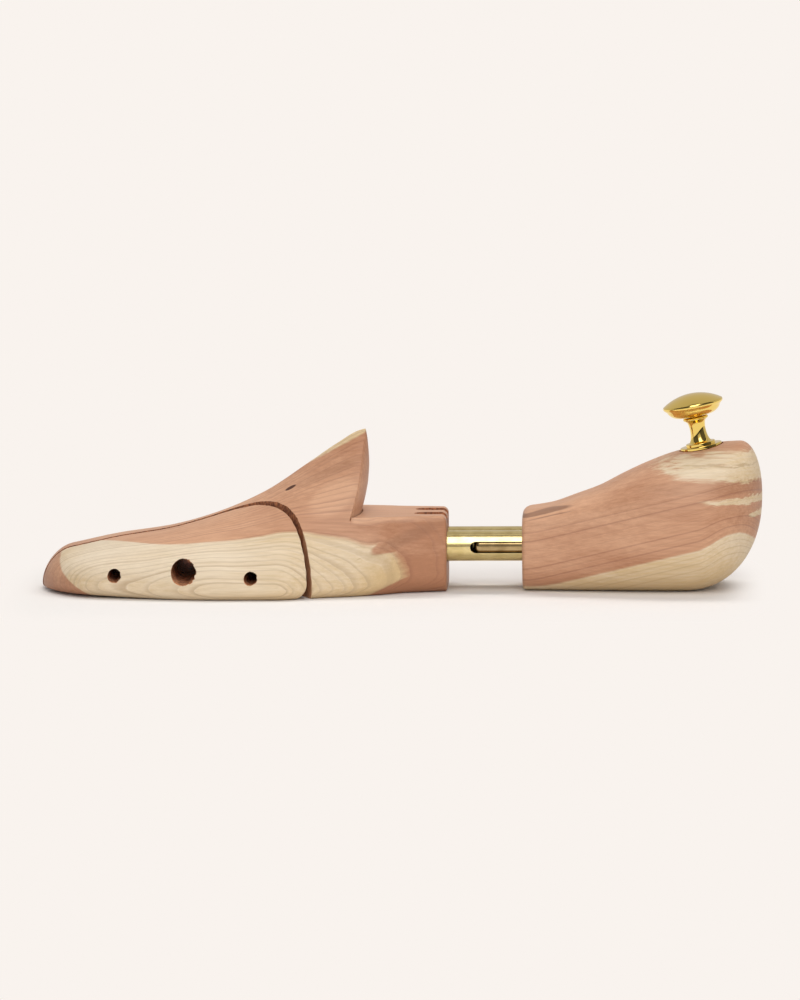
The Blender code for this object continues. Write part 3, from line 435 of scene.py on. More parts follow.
# Node graphs
class Graph:
    """Adds shader nodes to a tree and joins them."""

    def __init__(self, tree: bpy.types.NodeTree) -> None:
        """Keep the tree that the nodes go into."""
        self.tree = tree

    def feed(self, socket: Socket, value: object) -> None:
        """Join a socket to another, or set its own value.

        Args:
            socket: An input.
            value: An output to join it to, or a plain value. A colour has three parts.
        """
        if isinstance(value, bpy.types.NodeSocket):
            self.tree.links.new(value, socket)
        else:
            socket.default_value = (*value, 1.0) if socket.type == "RGBA" else value

    def fill(self, node: bpy.types.Node, inputs: dict[int | str, object]) -> None:
        """Feed several inputs of a node, each given by its place or name."""
        for key, value in inputs.items():
            self.feed(node.inputs[key], value)

    def node(self, kind: str, inputs: dict[int | str, object] | None = None, **settings: object) -> bpy.types.Node:
        """Add a node.

        Args:
            kind: Its type.
            inputs: What its inputs take, by place or name.
            **settings: Its properties.

        Returns:
            The node.
        """
        made = self.tree.nodes.new(kind)
        for key, value in settings.items():
            setattr(made, key, value)
        self.fill(made, inputs or {})
        return made

    def math(self, operation: str, *values: object) -> Socket:
        """Add a Math node with one to three inputs."""
        return self.node("ShaderNodeMath", dict(enumerate(values)), operation=operation).outputs[0]

    def total(self, *values: object) -> Socket:
        """Add up several values."""
        return reduce(lambda so_far, value: self.math("ADD", so_far, value), values)

    def scaled(self, value: object, factor: float, offset: float = 0.0) -> Socket:
        """Return value times factor plus offset."""
        return self.math("MULTIPLY_ADD", value, factor, offset)

    def centred(self, value: object, factor: float) -> Socket:
        """Return a value of 0 to 1 as one of -factor / 2 to factor / 2."""
        return self.scaled(value, factor, -factor / 2)

    def ramp(self, value: object, low: float, high: float, bottom: float = 0.0, top: float = 1.0) -> Socket:
        """Map low to high smoothly onto bottom to top."""
        inputs = {"Value": value, "From Min": low, "From Max": high, "To Min": bottom, "To Max": top}
        return self.node("ShaderNodeMapRange", inputs, interpolation_type="SMOOTHSTEP").outputs["Result"]

    def stretched(self, vector: object, factors: Point) -> Socket:
        """Scale a vector by three factors."""
        return self.node("ShaderNodeVectorMath", {0: vector, 1: factors}, operation="MULTIPLY").outputs[0]

    def noise(self, vector: object, factors: Point, detail: float = 2.0, roughness: float = 0.5) -> Socket:
        """Add a noise texture of a stretched vector, of about 0 to 1."""
        inputs = {"Vector": self.stretched(vector, factors), "Scale": 1.0, "Detail": detail, "Roughness": roughness}
        return self.node("ShaderNodeTexNoise", inputs).outputs[0]

    def line_noise(self, place: object, factor: float) -> Socket:
        """Add a noise texture of one coordinate, of about 0 to 1."""
        inputs = {"W": self.scaled(place, factor), "Scale": 1.0, "Detail": 0.0}
        return self.node("ShaderNodeTexNoise", inputs, noise_dimensions="1D").outputs[0]

    def mix(self, share: object, first: object, second: object, blend: str = "MIX") -> Socket:
        """Mix two colours by the share of the second."""
        return self.node("ShaderNodeMix", {0: share, 6: first, 7: second}, data_type="RGBA",
                         blend_type=blend).outputs[2]

    def bump(self, height: object, strength: float, depth: float) -> Socket:
        """Turn a height into a normal; the depth is that of a height of 1, in metres."""
        return self.node("ShaderNodeBump", {"Strength": strength, "Distance": depth, "Height": height}).outputs[0]

    def point(self) -> Socket:
        """Return the Object coordinates in millimetres."""
        place = self.node("ShaderNodeTexCoord").outputs["Object"]
        return self.stretched(place, (MM_PER_M, MM_PER_M, MM_PER_M))

    def parts(self, vector: Socket) -> tuple[Socket, ...]:
        """Split a vector into X, Y and Z."""
        return tuple(self.node("ShaderNodeSeparateXYZ", {0: vector}).outputs)

    def use(self, group: bpy.types.NodeTree, **values: object) -> bpy.types.NodeOutputs:
        """Place a node group, with its inputs by name, and return its outputs."""
        inputs = {key.title(): value for key, value in values.items()}
        return self.node("ShaderNodeGroup", inputs, node_tree=group).outputs


def new_group(name: str, inputs: dict[str, str], outputs: dict[str, str]) -> tuple[Graph, dict[str, Socket], Socket]:
    """Make a node group with named sockets.

    Args:
        name: Name of the group.
        inputs: Socket names and their kinds, such as Float or Vector.
        outputs: The same for the outputs.

    Returns:
        Its graph, its inputs by name and the inputs of its output node.
    """
    tree = bpy.data.node_groups.new(name, "ShaderNodeTree")
    for key, kind in inputs.items():
        tree.interface.new_socket(name=key, in_out="INPUT", socket_type="NodeSocket" + kind)
    for key, kind in outputs.items():
        tree.interface.new_socket(name=key, in_out="OUTPUT", socket_type="NodeSocket" + kind)
    graph = Graph(tree)
    given = graph.node("NodeGroupInput").outputs
    return graph, {key: given[key] for key in inputs}, graph.node("NodeGroupOutput").inputs


# Cedar and metal
@dataclass(frozen=True)
class Spot:
    """A soft tilted ellipse in two coordinates, in millimetres and degrees."""

    centre: tuple[float, float]
    reach: tuple[float, float]
    tilt: float = 0.0

    def mask(self, graph: Graph, first: Socket, second: Socket) -> Socket:
        """Return 1 at its centre, falling to 0 at its reach.

        Args:
            graph: Graph to add it to.
            first: The coordinate along it.
            second: The coordinate across it.

        Returns:
            The mask.
        """
        cosine, sine = math.cos(math.radians(self.tilt)), math.sin(math.radians(self.tilt))
        length, width = self.reach
        here = graph.scaled(first, 1.0, -self.centre[0])
        there = graph.scaled(second, 1.0, -self.centre[1])
        along = graph.math("ADD", graph.scaled(here, cosine / length), graph.scaled(there, sine / length))
        across = graph.math("ADD", graph.scaled(here, -sine / width), graph.scaled(there, cosine / width))
        far = graph.math("ADD", graph.math("MULTIPLY", along, along), graph.math("MULTIPLY", across, across))
        return graph.ramp(far, 0.0, 1.0, 1.0, 0.0)


class Timber:
    """The node groups that say how the two blocks of cedar grew and how their grain looks."""

    HEART_LIGHT = (0.605, 0.342, 0.206)
    HEART_DARK = (0.400, 0.180, 0.092)
    HEART_LINE = (0.245, 0.092, 0.052)
    SAP_LIGHT = (0.720, 0.600, 0.448)
    SAP_DARK = (0.600, 0.430, 0.226)
    SAP_LINE = (0.400, 0.262, 0.140)
    STAIN = (0.070, 0.022, 0.011)
    NECK_BAND = Spot((3.0, 22.3), (20.0, 3.4), 22.0)
    INSTEP_BAND = Spot((-27.0, 47.5), (22.0, 2.4), 23.0)
    PALE_PATCH = Spot((-26.0, 38.0), (12.0, 7.0), 34.0)
    CRACK = Spot((-15.6, 15.0), (1.9, 0.22), 23.0)
    KNOT = Spot((-43.2, 40.9), (2.7, 0.55), 28.0)
    KNOT_TAIL = Spot((-49.0, 38.0), (5.5, 0.35), 28.0)
    HEEL_STREAK = Spot((56.0, 31.5), (14.0, 0.95), 13.0)
    HEEL_STREAK_TAIL = Spot((59.5, 30.5), (12.5, 0.3), 13.0)
    HEEL_TOP_BAND = Spot((49.4, 134.0), (7.8, 44.0))
    HEEL_TOP_LINE = Spot((50.4, 128.0), (0.5, 26.0))
    HEEL_ROSY_BAND = Spot((42.0, 124.0), (3.4, 40.0))
    HEEL_TONGUE = Spot((36.6, 138.0), (2.1, 27.0))
    HEEL_PATCH = Spot((30.6, 142.0), (1.6, 7.0))
    HEEL_LINES = ((-24.5, 0.4, 0.6), (-21.0, 0.5, 0.9), (-17.6, 0.3, 0.35), (-14.2, 0.3, 0.35), (-10.3, 0.45, 0.8),
                  (-8.0, 0.3, 0.35), (-5.8, 0.5, 0.85), (-3.6, 0.3, 0.4), (0.4, 0.3, 0.5), (3.0, 0.3, 0.5),
                  (5.6, 0.3, 0.5))

    def __init__(self) -> None:
        """Build the groups once."""
        self.grain = self._grain()
        self.growth = {Block.FOREPART: self._forepart_growth(), Block.HEEL: self._heel_growth()}

    def _grain(self) -> bpy.types.NodeTree:
        """Build the grain: growth rings, sapwood and heartwood, and fibres along X.

        Ring is the distance grown outwards in millimetres. It wanders a little with two slow
        noises, is divided by the ring spacing, and its fraction gives a thin late line of
        uneven strength. Sap is a distance past the heartwood's edge, Tone runs from dark to
        light wood and also brings the growth groups' painted light and shade, Line adds single
        darker lines and Stain darkens whole spots.

        Returns:
            The group.
        """
        graph, given, out = new_group(
            "cedar grain", {"Point": "Vector", **GROWTH_OUTPUTS, "Spacing": "Float", "Contrast": "Float"},
            LOOK_OUTPUTS)
        point = given["Point"]
        slow = graph.noise(point, (0.014, 0.05, 0.05), 1.0)
        wander = graph.noise(point, (0.06, 0.22, 0.22), 2.0)
        broad = graph.noise(point, (0.05, 0.9, 0.9), 3.0, 0.6)
        fine = graph.noise(point, (0.20, 4.0, 4.0), 2.0, 0.6)
        cloud = graph.noise(point, (0.012, 0.09, 0.09), 2.0)
        ring = graph.total(given["Ring"], graph.centred(slow, 0.7), graph.centred(wander, 0.5))
        cycle = graph.math("DIVIDE", ring, given["Spacing"])
        uneven = graph.math("ADD", cycle, graph.centred(graph.line_noise(cycle, 0.8), 1.1))
        part = graph.math("FRACT", uneven)
        late = graph.math("MULTIPLY", graph.ramp(part, 0.45, 0.90), graph.ramp(part, 0.92, 1.0, 1.0, 0.0))
        strength = graph.line_noise(graph.math("FLOOR", uneven), 3.7)
        line = graph.math("MULTIPLY", late, graph.ramp(strength, 0.25, 0.75, 0.45, 1.0))
        line = graph.math("MAXIMUM", graph.math("MULTIPLY", line, given["Contrast"]), given["Line"])
        sap = graph.ramp(graph.total(given["Sap"], graph.centred(broad, 0.6)), -0.45, 0.55)
        tone = graph.total(given["Tone"], graph.centred(cloud, 0.9), graph.centred(broad, 0.6),
                           graph.scaled(part, 0.16, -0.08))
        tone = graph.ramp(tone, 0.0, 1.0)
        heart = graph.mix(tone, self.HEART_DARK, self.HEART_LIGHT)
        heart = graph.mix(graph.math("MULTIPLY", line, 0.45), heart, self.HEART_LINE)
        cream = graph.mix(tone, self.SAP_DARK, self.SAP_LIGHT)
        cream = graph.mix(graph.math("MULTIPLY", line, 0.62), cream, self.SAP_LINE)
        wood = graph.mix(sap, heart, cream)
        wood = graph.mix(given["Stain"], wood, self.STAIN)
        shade = graph.total(1.0, graph.centred(fine, 0.22), graph.centred(broad, 0.16))
        grey = graph.node("ShaderNodeCombineColor", {0: shade, 1: shade, 2: shade})
        graph.feed(out["Color"], graph.mix(1.0, wood, grey.outputs[0], "MULTIPLY"))
        graph.feed(out["Roughness"], graph.total(0.50, graph.centred(fine, 0.16), graph.scaled(line, -0.08)))
        graph.feed(out["Height"], graph.total(graph.scaled(fine, 0.5), graph.scaled(broad, 0.3),
                                              graph.scaled(line, 0.35)))
        return graph.tree

    def _forepart_growth(self) -> bpy.types.NodeTree:
        """Build the forepart's growth: rings face the outer side and turn in at the toe.

        Ring = -y + 0.12 * max(-101 - x, 0) + a rise of 4.5 from x = -16 to 6. Sapwood starts at
        y = -25.1, further in by that rise and by 0.0001 * max(-60 - x, 0) ** 3 towards the toe,
        but not past y = -5, nor in the toe's cap, x < -134.3 + 0.078 * max(14 - z, 0) ** 2, nor
        below the slope z = 5.8 + 0.45 * x at the neck. Behind x = -40 a cream strip lies along
        the peak's edge, z > 69.5 + 0.537 * x. Tone falls towards the toe's tip, the neck and the
        peak's top. Tone also carries painted shade, darker towards the sole and low on the neck,
        and painted light, lighter on the neck's top face. The pale patch, the knot, the crack and
        the two dark bands are spots in x and z, all but the pale one on the outer side only. The
        neck's band also pushes the sapwood back.

        Returns:
            The group.
        """
        graph, given, out = new_group("forepart growth", {"Point": "Vector"}, GROWTH_OUTPUTS)
        x, y, z = graph.parts(given["Point"])
        toe_bow = graph.scaled(graph.math("SMOOTH_MAX", graph.scaled(x, -1.0, -101.0), 0.0, 8.0), 0.12)
        neck_bow = graph.ramp(x, -16.0, 6.0, 0.0, 4.5)
        graph.feed(out["Ring"], graph.total(graph.scaled(y, -1.0), toe_bow, neck_bow))
        ahead = graph.math("MAXIMUM", graph.scaled(x, -1.0, -60.0), 0.0)
        cubic = graph.scaled(graph.math("POWER", ahead, 3.0), 0.0001)
        side_sap = graph.math("MINIMUM", graph.total(graph.scaled(y, -1.0), cubic, neck_bow, -25.1),
                              graph.scaled(y, -1.0, -5.0))
        low = graph.math("MAXIMUM", graph.scaled(z, -1.0, 14.0), 0.0)
        cap = graph.total(x, graph.scaled(graph.math("MULTIPLY", low, low), -0.078), 134.3)
        foot = graph.total(z, graph.scaled(x, -0.45, -5.8))
        neck_band = self.NECK_BAND.mask(graph, x, z)
        side_sap = graph.math("ADD", graph.math("MINIMUM", side_sap, foot), graph.scaled(neck_band, -2.1))
        peak_sap = graph.math("MINIMUM", graph.total(z, graph.scaled(x, -0.537, -69.5)), graph.scaled(x, 1.0, 40.0))
        graph.feed(out["Sap"], graph.math("MAXIMUM", graph.math("MINIMUM", side_sap, cap), peak_sap))
        # Painted light: the neck's top face is made lighter.
        lit_neck_top = graph.math("MULTIPLY", graph.math("MULTIPLY", graph.ramp(z, 27.0, 30.0),
                                                    graph.ramp(x, -19.0, -17.0)), graph.ramp(z, 31.5, 33.0, 1.0, 0.0))
        # Painted shade: the neck is made darker low down, towards the sole.
        low_neck_shade = graph.math("MULTIPLY", graph.ramp(z, 6.0, 22.0, 1.0, 0.0), graph.ramp(x, -22.0, 0.0))
        # Tone's ramp in z from 0 to 12 mm is painted shade, darker towards the sole.
        tone = graph.total(graph.ramp(x, -75.0, -35.0, 0.80, 0.60), graph.ramp(x, -20.0, 12.0, 0.0, -0.44),
                           graph.scaled(self.PALE_PATCH.mask(graph, x, z), 0.50), graph.scaled(low_neck_shade, -0.36),
                           graph.ramp(x, -134.0, -118.0, -0.30, 0.0), graph.ramp(z, 0.0, 12.0, -0.30, 0.0),
                           graph.scaled(lit_neck_top, 0.55), graph.ramp(z, 42.0, 58.0, 0.0, -0.36))
        graph.feed(out["Tone"], tone)
        outer_side = graph.ramp(y, -3.0, -1.0, 1.0, 0.0)
        marks = graph.math("MAXIMUM", graph.scaled(self.CRACK.mask(graph, x, z), 0.7),
                           graph.scaled(self.KNOT_TAIL.mask(graph, x, z), 0.6))
        graph.feed(out["Line"], graph.math("MULTIPLY", marks, outer_side))
        knot = graph.math("MINIMUM", graph.scaled(self.KNOT.mask(graph, x, z), 3.0), 1.0)
        stain = graph.total(knot, graph.scaled(self.INSTEP_BAND.mask(graph, x, z), 0.15),
                            graph.scaled(neck_band, 0.19))
        graph.feed(out["Stain"], graph.math("MULTIPLY", stain, outer_side))
        return graph.tree

    def _heel_growth(self) -> bpy.types.NodeTree:
        """Build the heel block's growth: layers that rise to the back and roll over near its end.

        Ring = -z - 0.12 * y - 2.9 + 0.235 * max(x - 52, 0), plus a step of 3.4 from x = 117 to 130
        and less 0.07 * max(x - 132, 0) ** 2, both weaker from z = 24 to 36. Sapwood lies where
        that is above -2.2, and a little sooner in front. It also lies in a band across the top of
        the back, a tongue and a patch below it, which noise breaks into streaks. Some rings are
        darker than the others. A dark streak runs along the front's top on the outer side.

        Returns:
            The group.
        """
        graph, given, out = new_group("heel growth", {"Point": "Vector"}, GROWTH_OUTPUTS)
        point = given["Point"]
        x, y, z = graph.parts(point)
        slope = graph.scaled(graph.math("SMOOTH_MAX", graph.scaled(x, 1.0, -52.0), 0.0, 8.0), 0.235)
        end = graph.math("MAXIMUM", graph.scaled(x, 1.0, -132.0), 0.0)
        fall = graph.scaled(graph.math("MULTIPLY", end, end), -0.07)
        roll = graph.math("ADD", graph.ramp(x, 117.0, 130.0, 0.0, 3.4), fall)
        ring = graph.total(graph.scaled(z, -1.0), graph.scaled(y, -0.12, -2.9), slope,
                           graph.math("MULTIPLY", roll, graph.ramp(z, 24.0, 36.0, 1.0, 0.15)))
        graph.feed(out["Ring"], ring)
        wave = graph.centred(graph.noise(point, (0.06, 0.12, 0.45), 4.0, 0.65), 4.6)
        height = graph.math("ADD", z, wave)
        bands = self.HEEL_TOP_BAND.mask(graph, height, x)
        tongue, patch = self.HEEL_TONGUE.mask(graph, height, x), self.HEEL_PATCH.mask(graph, height, x)
        near_cream = graph.math("MAXIMUM", bands, graph.math("MAXIMUM", tongue, patch))
        streaks = graph.total(1.9, graph.centred(graph.noise(point, (0.03, 0.40, 1.1), 3.0, 0.6), 5.0))
        tongues = graph.scaled(graph.math("MULTIPLY", near_cream, streaks), 1.0, -0.85)
        front_rise = graph.ramp(x, 46.0, 64.0, 1.4, 0.0)
        graph.feed(out["Sap"], graph.math("MAXIMUM", graph.total(ring, front_rise, 2.2), tongues))
        # Tone carries painted shade and light: darker towards the sole and the back, lighter towards the front and a
        # little at the top.
        graph.feed(out["Tone"], graph.total(graph.ramp(z, 2.0, 20.0, 0.18, 0.55), graph.ramp(x, 50.0, 90.0, 0.16, 0.0),
                                            graph.ramp(x, 110.0, 142.0, 0.0, -0.12),
                                            graph.ramp(z, 40.0, 56.0, 0.0, 0.05)))
        lines = graph.total(*(graph.scaled(Spot((at, at), (reach, 1000.0)).mask(graph, ring, ring), depth)
                              for at, reach, depth in self.HEEL_LINES))
        dark = graph.scaled(self.HEEL_TOP_LINE.mask(graph, height, x), 0.9)
        graph.feed(out["Line"], graph.math("MAXIMUM", lines, dark))
        streak = graph.math("MINIMUM", graph.scaled(self.HEEL_STREAK.mask(graph, x, z), 1.2), 0.55)
        stain = graph.math("MAXIMUM", streak, graph.scaled(self.HEEL_STREAK_TAIL.mask(graph, x, z), 0.45))
        near_stain = graph.math("MULTIPLY", stain, graph.ramp(y, -9.0, 1.0, 1.0, 0.0))
        rosy = graph.scaled(self.HEEL_ROSY_BAND.mask(graph, height, x), 0.10)
        graph.feed(out["Stain"], graph.math("MAXIMUM", near_stain, rosy))
        return graph.tree


@dataclass(frozen=True)
class CedarFinish:
    """Bare cedar of one block, as one tool left it."""

    TORN_TONES = {
        Surface.SAWN: ((0.090, 0.020, 0.008), (0.480, 0.165, 0.065)),
        Surface.BORED: ((0.210, 0.062, 0.022), (0.800, 0.330, 0.140)),
    }
    TORN_SAPWOOD = (0.700, 0.360, 0.190)
    TORN_SAPWOOD_SHARES = {Surface.SAWN: 0.55, Surface.BORED: 0.0}
    TORN_DEPTH = 6
    SHINE = 0.45
    BUMP_STRENGTH = 0.8

    name: str
    block: Block
    surface: Surface = Surface.SANDED
    spacing: float = 1.35
    contrast: float = 1.0
    bump: float = 0.00006

    def material(self, timber: Timber) -> Finish:
        """Make the material.

        Args:
            timber: The shared node groups.

        Returns:
            The material, with the block's rings in Object coordinates.
        """
        made, graph, shader = new_material(self.name)
        point = graph.point()
        growth = graph.use(timber.growth[self.block], point=point)
        grain = graph.use(timber.grain, point=point, ring=growth["Ring"], sap=growth["Sap"], tone=growth["Tone"],
                          line=growth["Line"], stain=growth["Stain"], spacing=self.spacing,
                          contrast=self.contrast)
        colour, roughness, height = grain["Color"], grain["Roughness"], grain["Height"]
        depth = self.bump
        if self.surface is not Surface.SANDED:
            torn = graph.noise(point, (1.6, 1.6, 0.7), 4.0, 0.7)
            coarse = graph.noise(point, (0.5, 0.5, 0.25), 2.0)
            dark, light = self.TORN_TONES[self.surface]
            share = graph.ramp(graph.total(torn, graph.centred(coarse, 0.6)), 0.32, 0.72)
            pale = graph.ramp(growth["Sap"], -0.5, 0.5, 0.0, self.TORN_SAPWOOD_SHARES[self.surface])
            brown = graph.mix(pale, graph.mix(share, dark, light), self.TORN_SAPWOOD)
            colour = graph.mix(0.88, colour, brown)
            height = graph.total(torn, coarse)
            roughness = graph.scaled(torn, 0.2, 0.7)
            depth = self.bump * self.TORN_DEPTH
        graph.fill(shader, {"Base Color": colour, "Roughness": roughness, "Specular IOR Level": self.SHINE,
                            "Normal": graph.bump(height, self.BUMP_STRENGTH, depth)})
        return made


def new_material(name: str) -> tuple[Finish, Graph, bpy.types.Node]:
    """Make a material.

    Args:
        name: Its name.

    Returns:
        The material, its graph and its Principled shader.
    """
    made = bpy.data.materials.new(name)
    made.use_nodes = True
    return made, Graph(made.node_tree), made.node_tree.nodes["Principled BSDF"]


class MetalWork:
    """The node group that gives metal its drawn or turned marks."""

    def __init__(self) -> None:
        """Build the group once."""
        graph, given, out = new_group(
            "metal marks",
            {"Point": "Vector", "Base": "Color", "Tarnish": "Color", "Roughness": "Float", "Spread": "Float"},
            LOOK_OUTPUTS)
        cloud = graph.noise(given["Point"], (0.16, 0.16, 0.16), 3.0, 0.6)
        marks = graph.noise(given["Point"], (0.25, 9.0, 9.0), 3.0, 0.6)
        share = graph.ramp(graph.total(graph.scaled(cloud, 0.7), graph.scaled(marks, 0.3)), 0.35, 0.75)
        graph.feed(out["Color"], graph.mix(graph.math("MULTIPLY", share, given["Spread"]), given["Base"],
                                           given["Tarnish"]))
        rough = graph.math("MULTIPLY", given["Spread"], graph.total(graph.centred(marks, 0.16),
                                                                    graph.centred(cloud, 0.1)))
        graph.feed(out["Roughness"], graph.total(given["Roughness"], rough))
        graph.feed(out["Height"], marks)
        self.group = graph.tree


@dataclass(frozen=True)
class MetalFinish:
    """A metal with its colour, its tarnish and how evenly it shines."""

    name: str
    base: Colour
    tarnish: Colour
    roughness: float
    spread: float = 1.0
    bump: float = 0.000004

    def material(self, work: MetalWork) -> Finish:
        """Make the material.

        Args:
            work: The shared node group.

        Returns:
            The material, whose marks run along the tree.
        """
        made, graph, shader = new_material(self.name)
        marks = graph.use(work.group, point=graph.point(), base=self.base, tarnish=self.tarnish,
                          roughness=self.roughness, spread=self.spread)
        graph.fill(shader, {"Base Color": marks["Color"], "Roughness": marks["Roughness"], "Metallic": 1.0,
                            "Normal": graph.bump(marks["Height"], 0.5, self.bump)})
        return made


# Sizes that several pieces share
@dataclass(frozen=True)
class Layout:
    """Places along the tree, the bores and the tubes."""

    forepart_length: float = 0.1609
    block_gap: float = 0.0297
    heel_length: float = 0.0945
    neck_length: float = 0.0308
    tube_height: float = 0.0175
    tube_radius: float = 0.006
    tube_wall: float = 0.001
    bore_wall: float = 0.0008
    travel: float = 0.028
    slot_setback: float = 0.0092
    slot_width: float = 0.0046
    tube_end_land: float = 0.006
    bore_end_room: float = 0.003
    heel_grip: float = 0.015
    nose_setback: float = 0.0013
    kerf_turn_start: float = 0.06855
    kerf_turn_length: float = 0.0414
    kerf_turn_width: float = 0.042
    kerf_width: float = 0.002
    kerf_offset: float = 0.003
    tube_kerf_gap: float = 0.0005
    brad_setback: float = 0.0183

    @property
    def toe_x(self) -> float:
        """X of the toe's tip."""
        return -(self.forepart_length + self.block_gap + self.heel_length) / 2

    @property
    def neck_end_x(self) -> float:
        """X of the neck's end face."""
        return self.toe_x + self.forepart_length

    @property
    def peak_x(self) -> float:
        """X of the peak's rear face at its foot."""
        return self.neck_end_x - self.neck_length

    @property
    def heel_front_x(self) -> float:
        """X of the heel block's front face."""
        return self.neck_end_x + self.block_gap

    @property
    def heel_back_x(self) -> float:
        """X of the heel block's back."""
        return self.heel_front_x + self.heel_length

    @property
    def kerf_turn_x(self) -> float:
        """X at which the kerf starts to turn outwards."""
        return self.toe_x + self.kerf_turn_start

    @property
    def bore_radius(self) -> float:
        """Radius of the bores for the outer tubes."""
        return self.tube_radius + FIT_GAP

    @property
    def tube_offset(self) -> float:
        """Distance of each tube's axis from the middle."""
        return self.bore_radius + self.bore_wall / 2

    @property
    def inner_radius(self) -> float:
        """Radius of the inner tubes."""
        return self.tube_radius - self.tube_wall - FIT_GAP

    @property
    def tube_front_x(self) -> float:
        """X of the outer tubes' front end."""
        return self.kerf_turn_x + self.kerf_turn_length + self.tube_kerf_gap

    @property
    def slot_front_x(self) -> float:
        """X of the slots' front end."""
        return self.neck_end_x + self.slot_setback

    @property
    def slot_back_x(self) -> float:
        """X of the slots' back end."""
        return self.slot_front_x + self.slot_width + self.travel

    @property
    def tube_back_x(self) -> float:
        """X of the outer tubes' back end."""
        return self.slot_back_x + self.tube_end_land

    @property
    def wide_bore_back_x(self) -> float:
        """X at which the heel's bores narrow."""
        return self.tube_back_x + self.travel + self.bore_end_room

    @property
    def inner_front_x(self) -> float:
        """X of the inner tubes' nose."""
        return self.slot_front_x + self.nose_setback

    @property
    def inner_back_x(self) -> float:
        """X of the inner tubes' back end."""
        return self.wide_bore_back_x + self.heel_grip


LAYOUT = Layout()


# Pieces of the tree
@dataclass(frozen=True)
class BradHoles:
    """Stepped holes for the brads that are driven up from below."""

    radius: float = 0.0009
    head_radius: float = 0.0017
    head_length: float = 0.0007
    sink: float = 0.0006
    steps: int = 20

    def cutter(self, name: str, x: float, y: float, top_z: float) -> Piece:
        """Make one hole's cutter: a sunk seat for the head and a shank hole above it.

        Args:
            name: Name of the cutter.
            x: Place along the tree.
            y: Place across the tree.
            top_z: Top of the hole.

        Returns:
            The cutter.
        """
        shank, seat = self.radius + FIT_GAP, self.head_radius + FIT_GAP
        seat_top = self.sink + self.head_length + FIT_GAP
        profile = [(0, -OVERRUN), (seat, -OVERRUN), (seat, seat_top), (shank, seat_top), (shank, top_z), (0, top_z)]
        return turned(name, profile, (x, y, 0), ALONG_Z, self.steps)


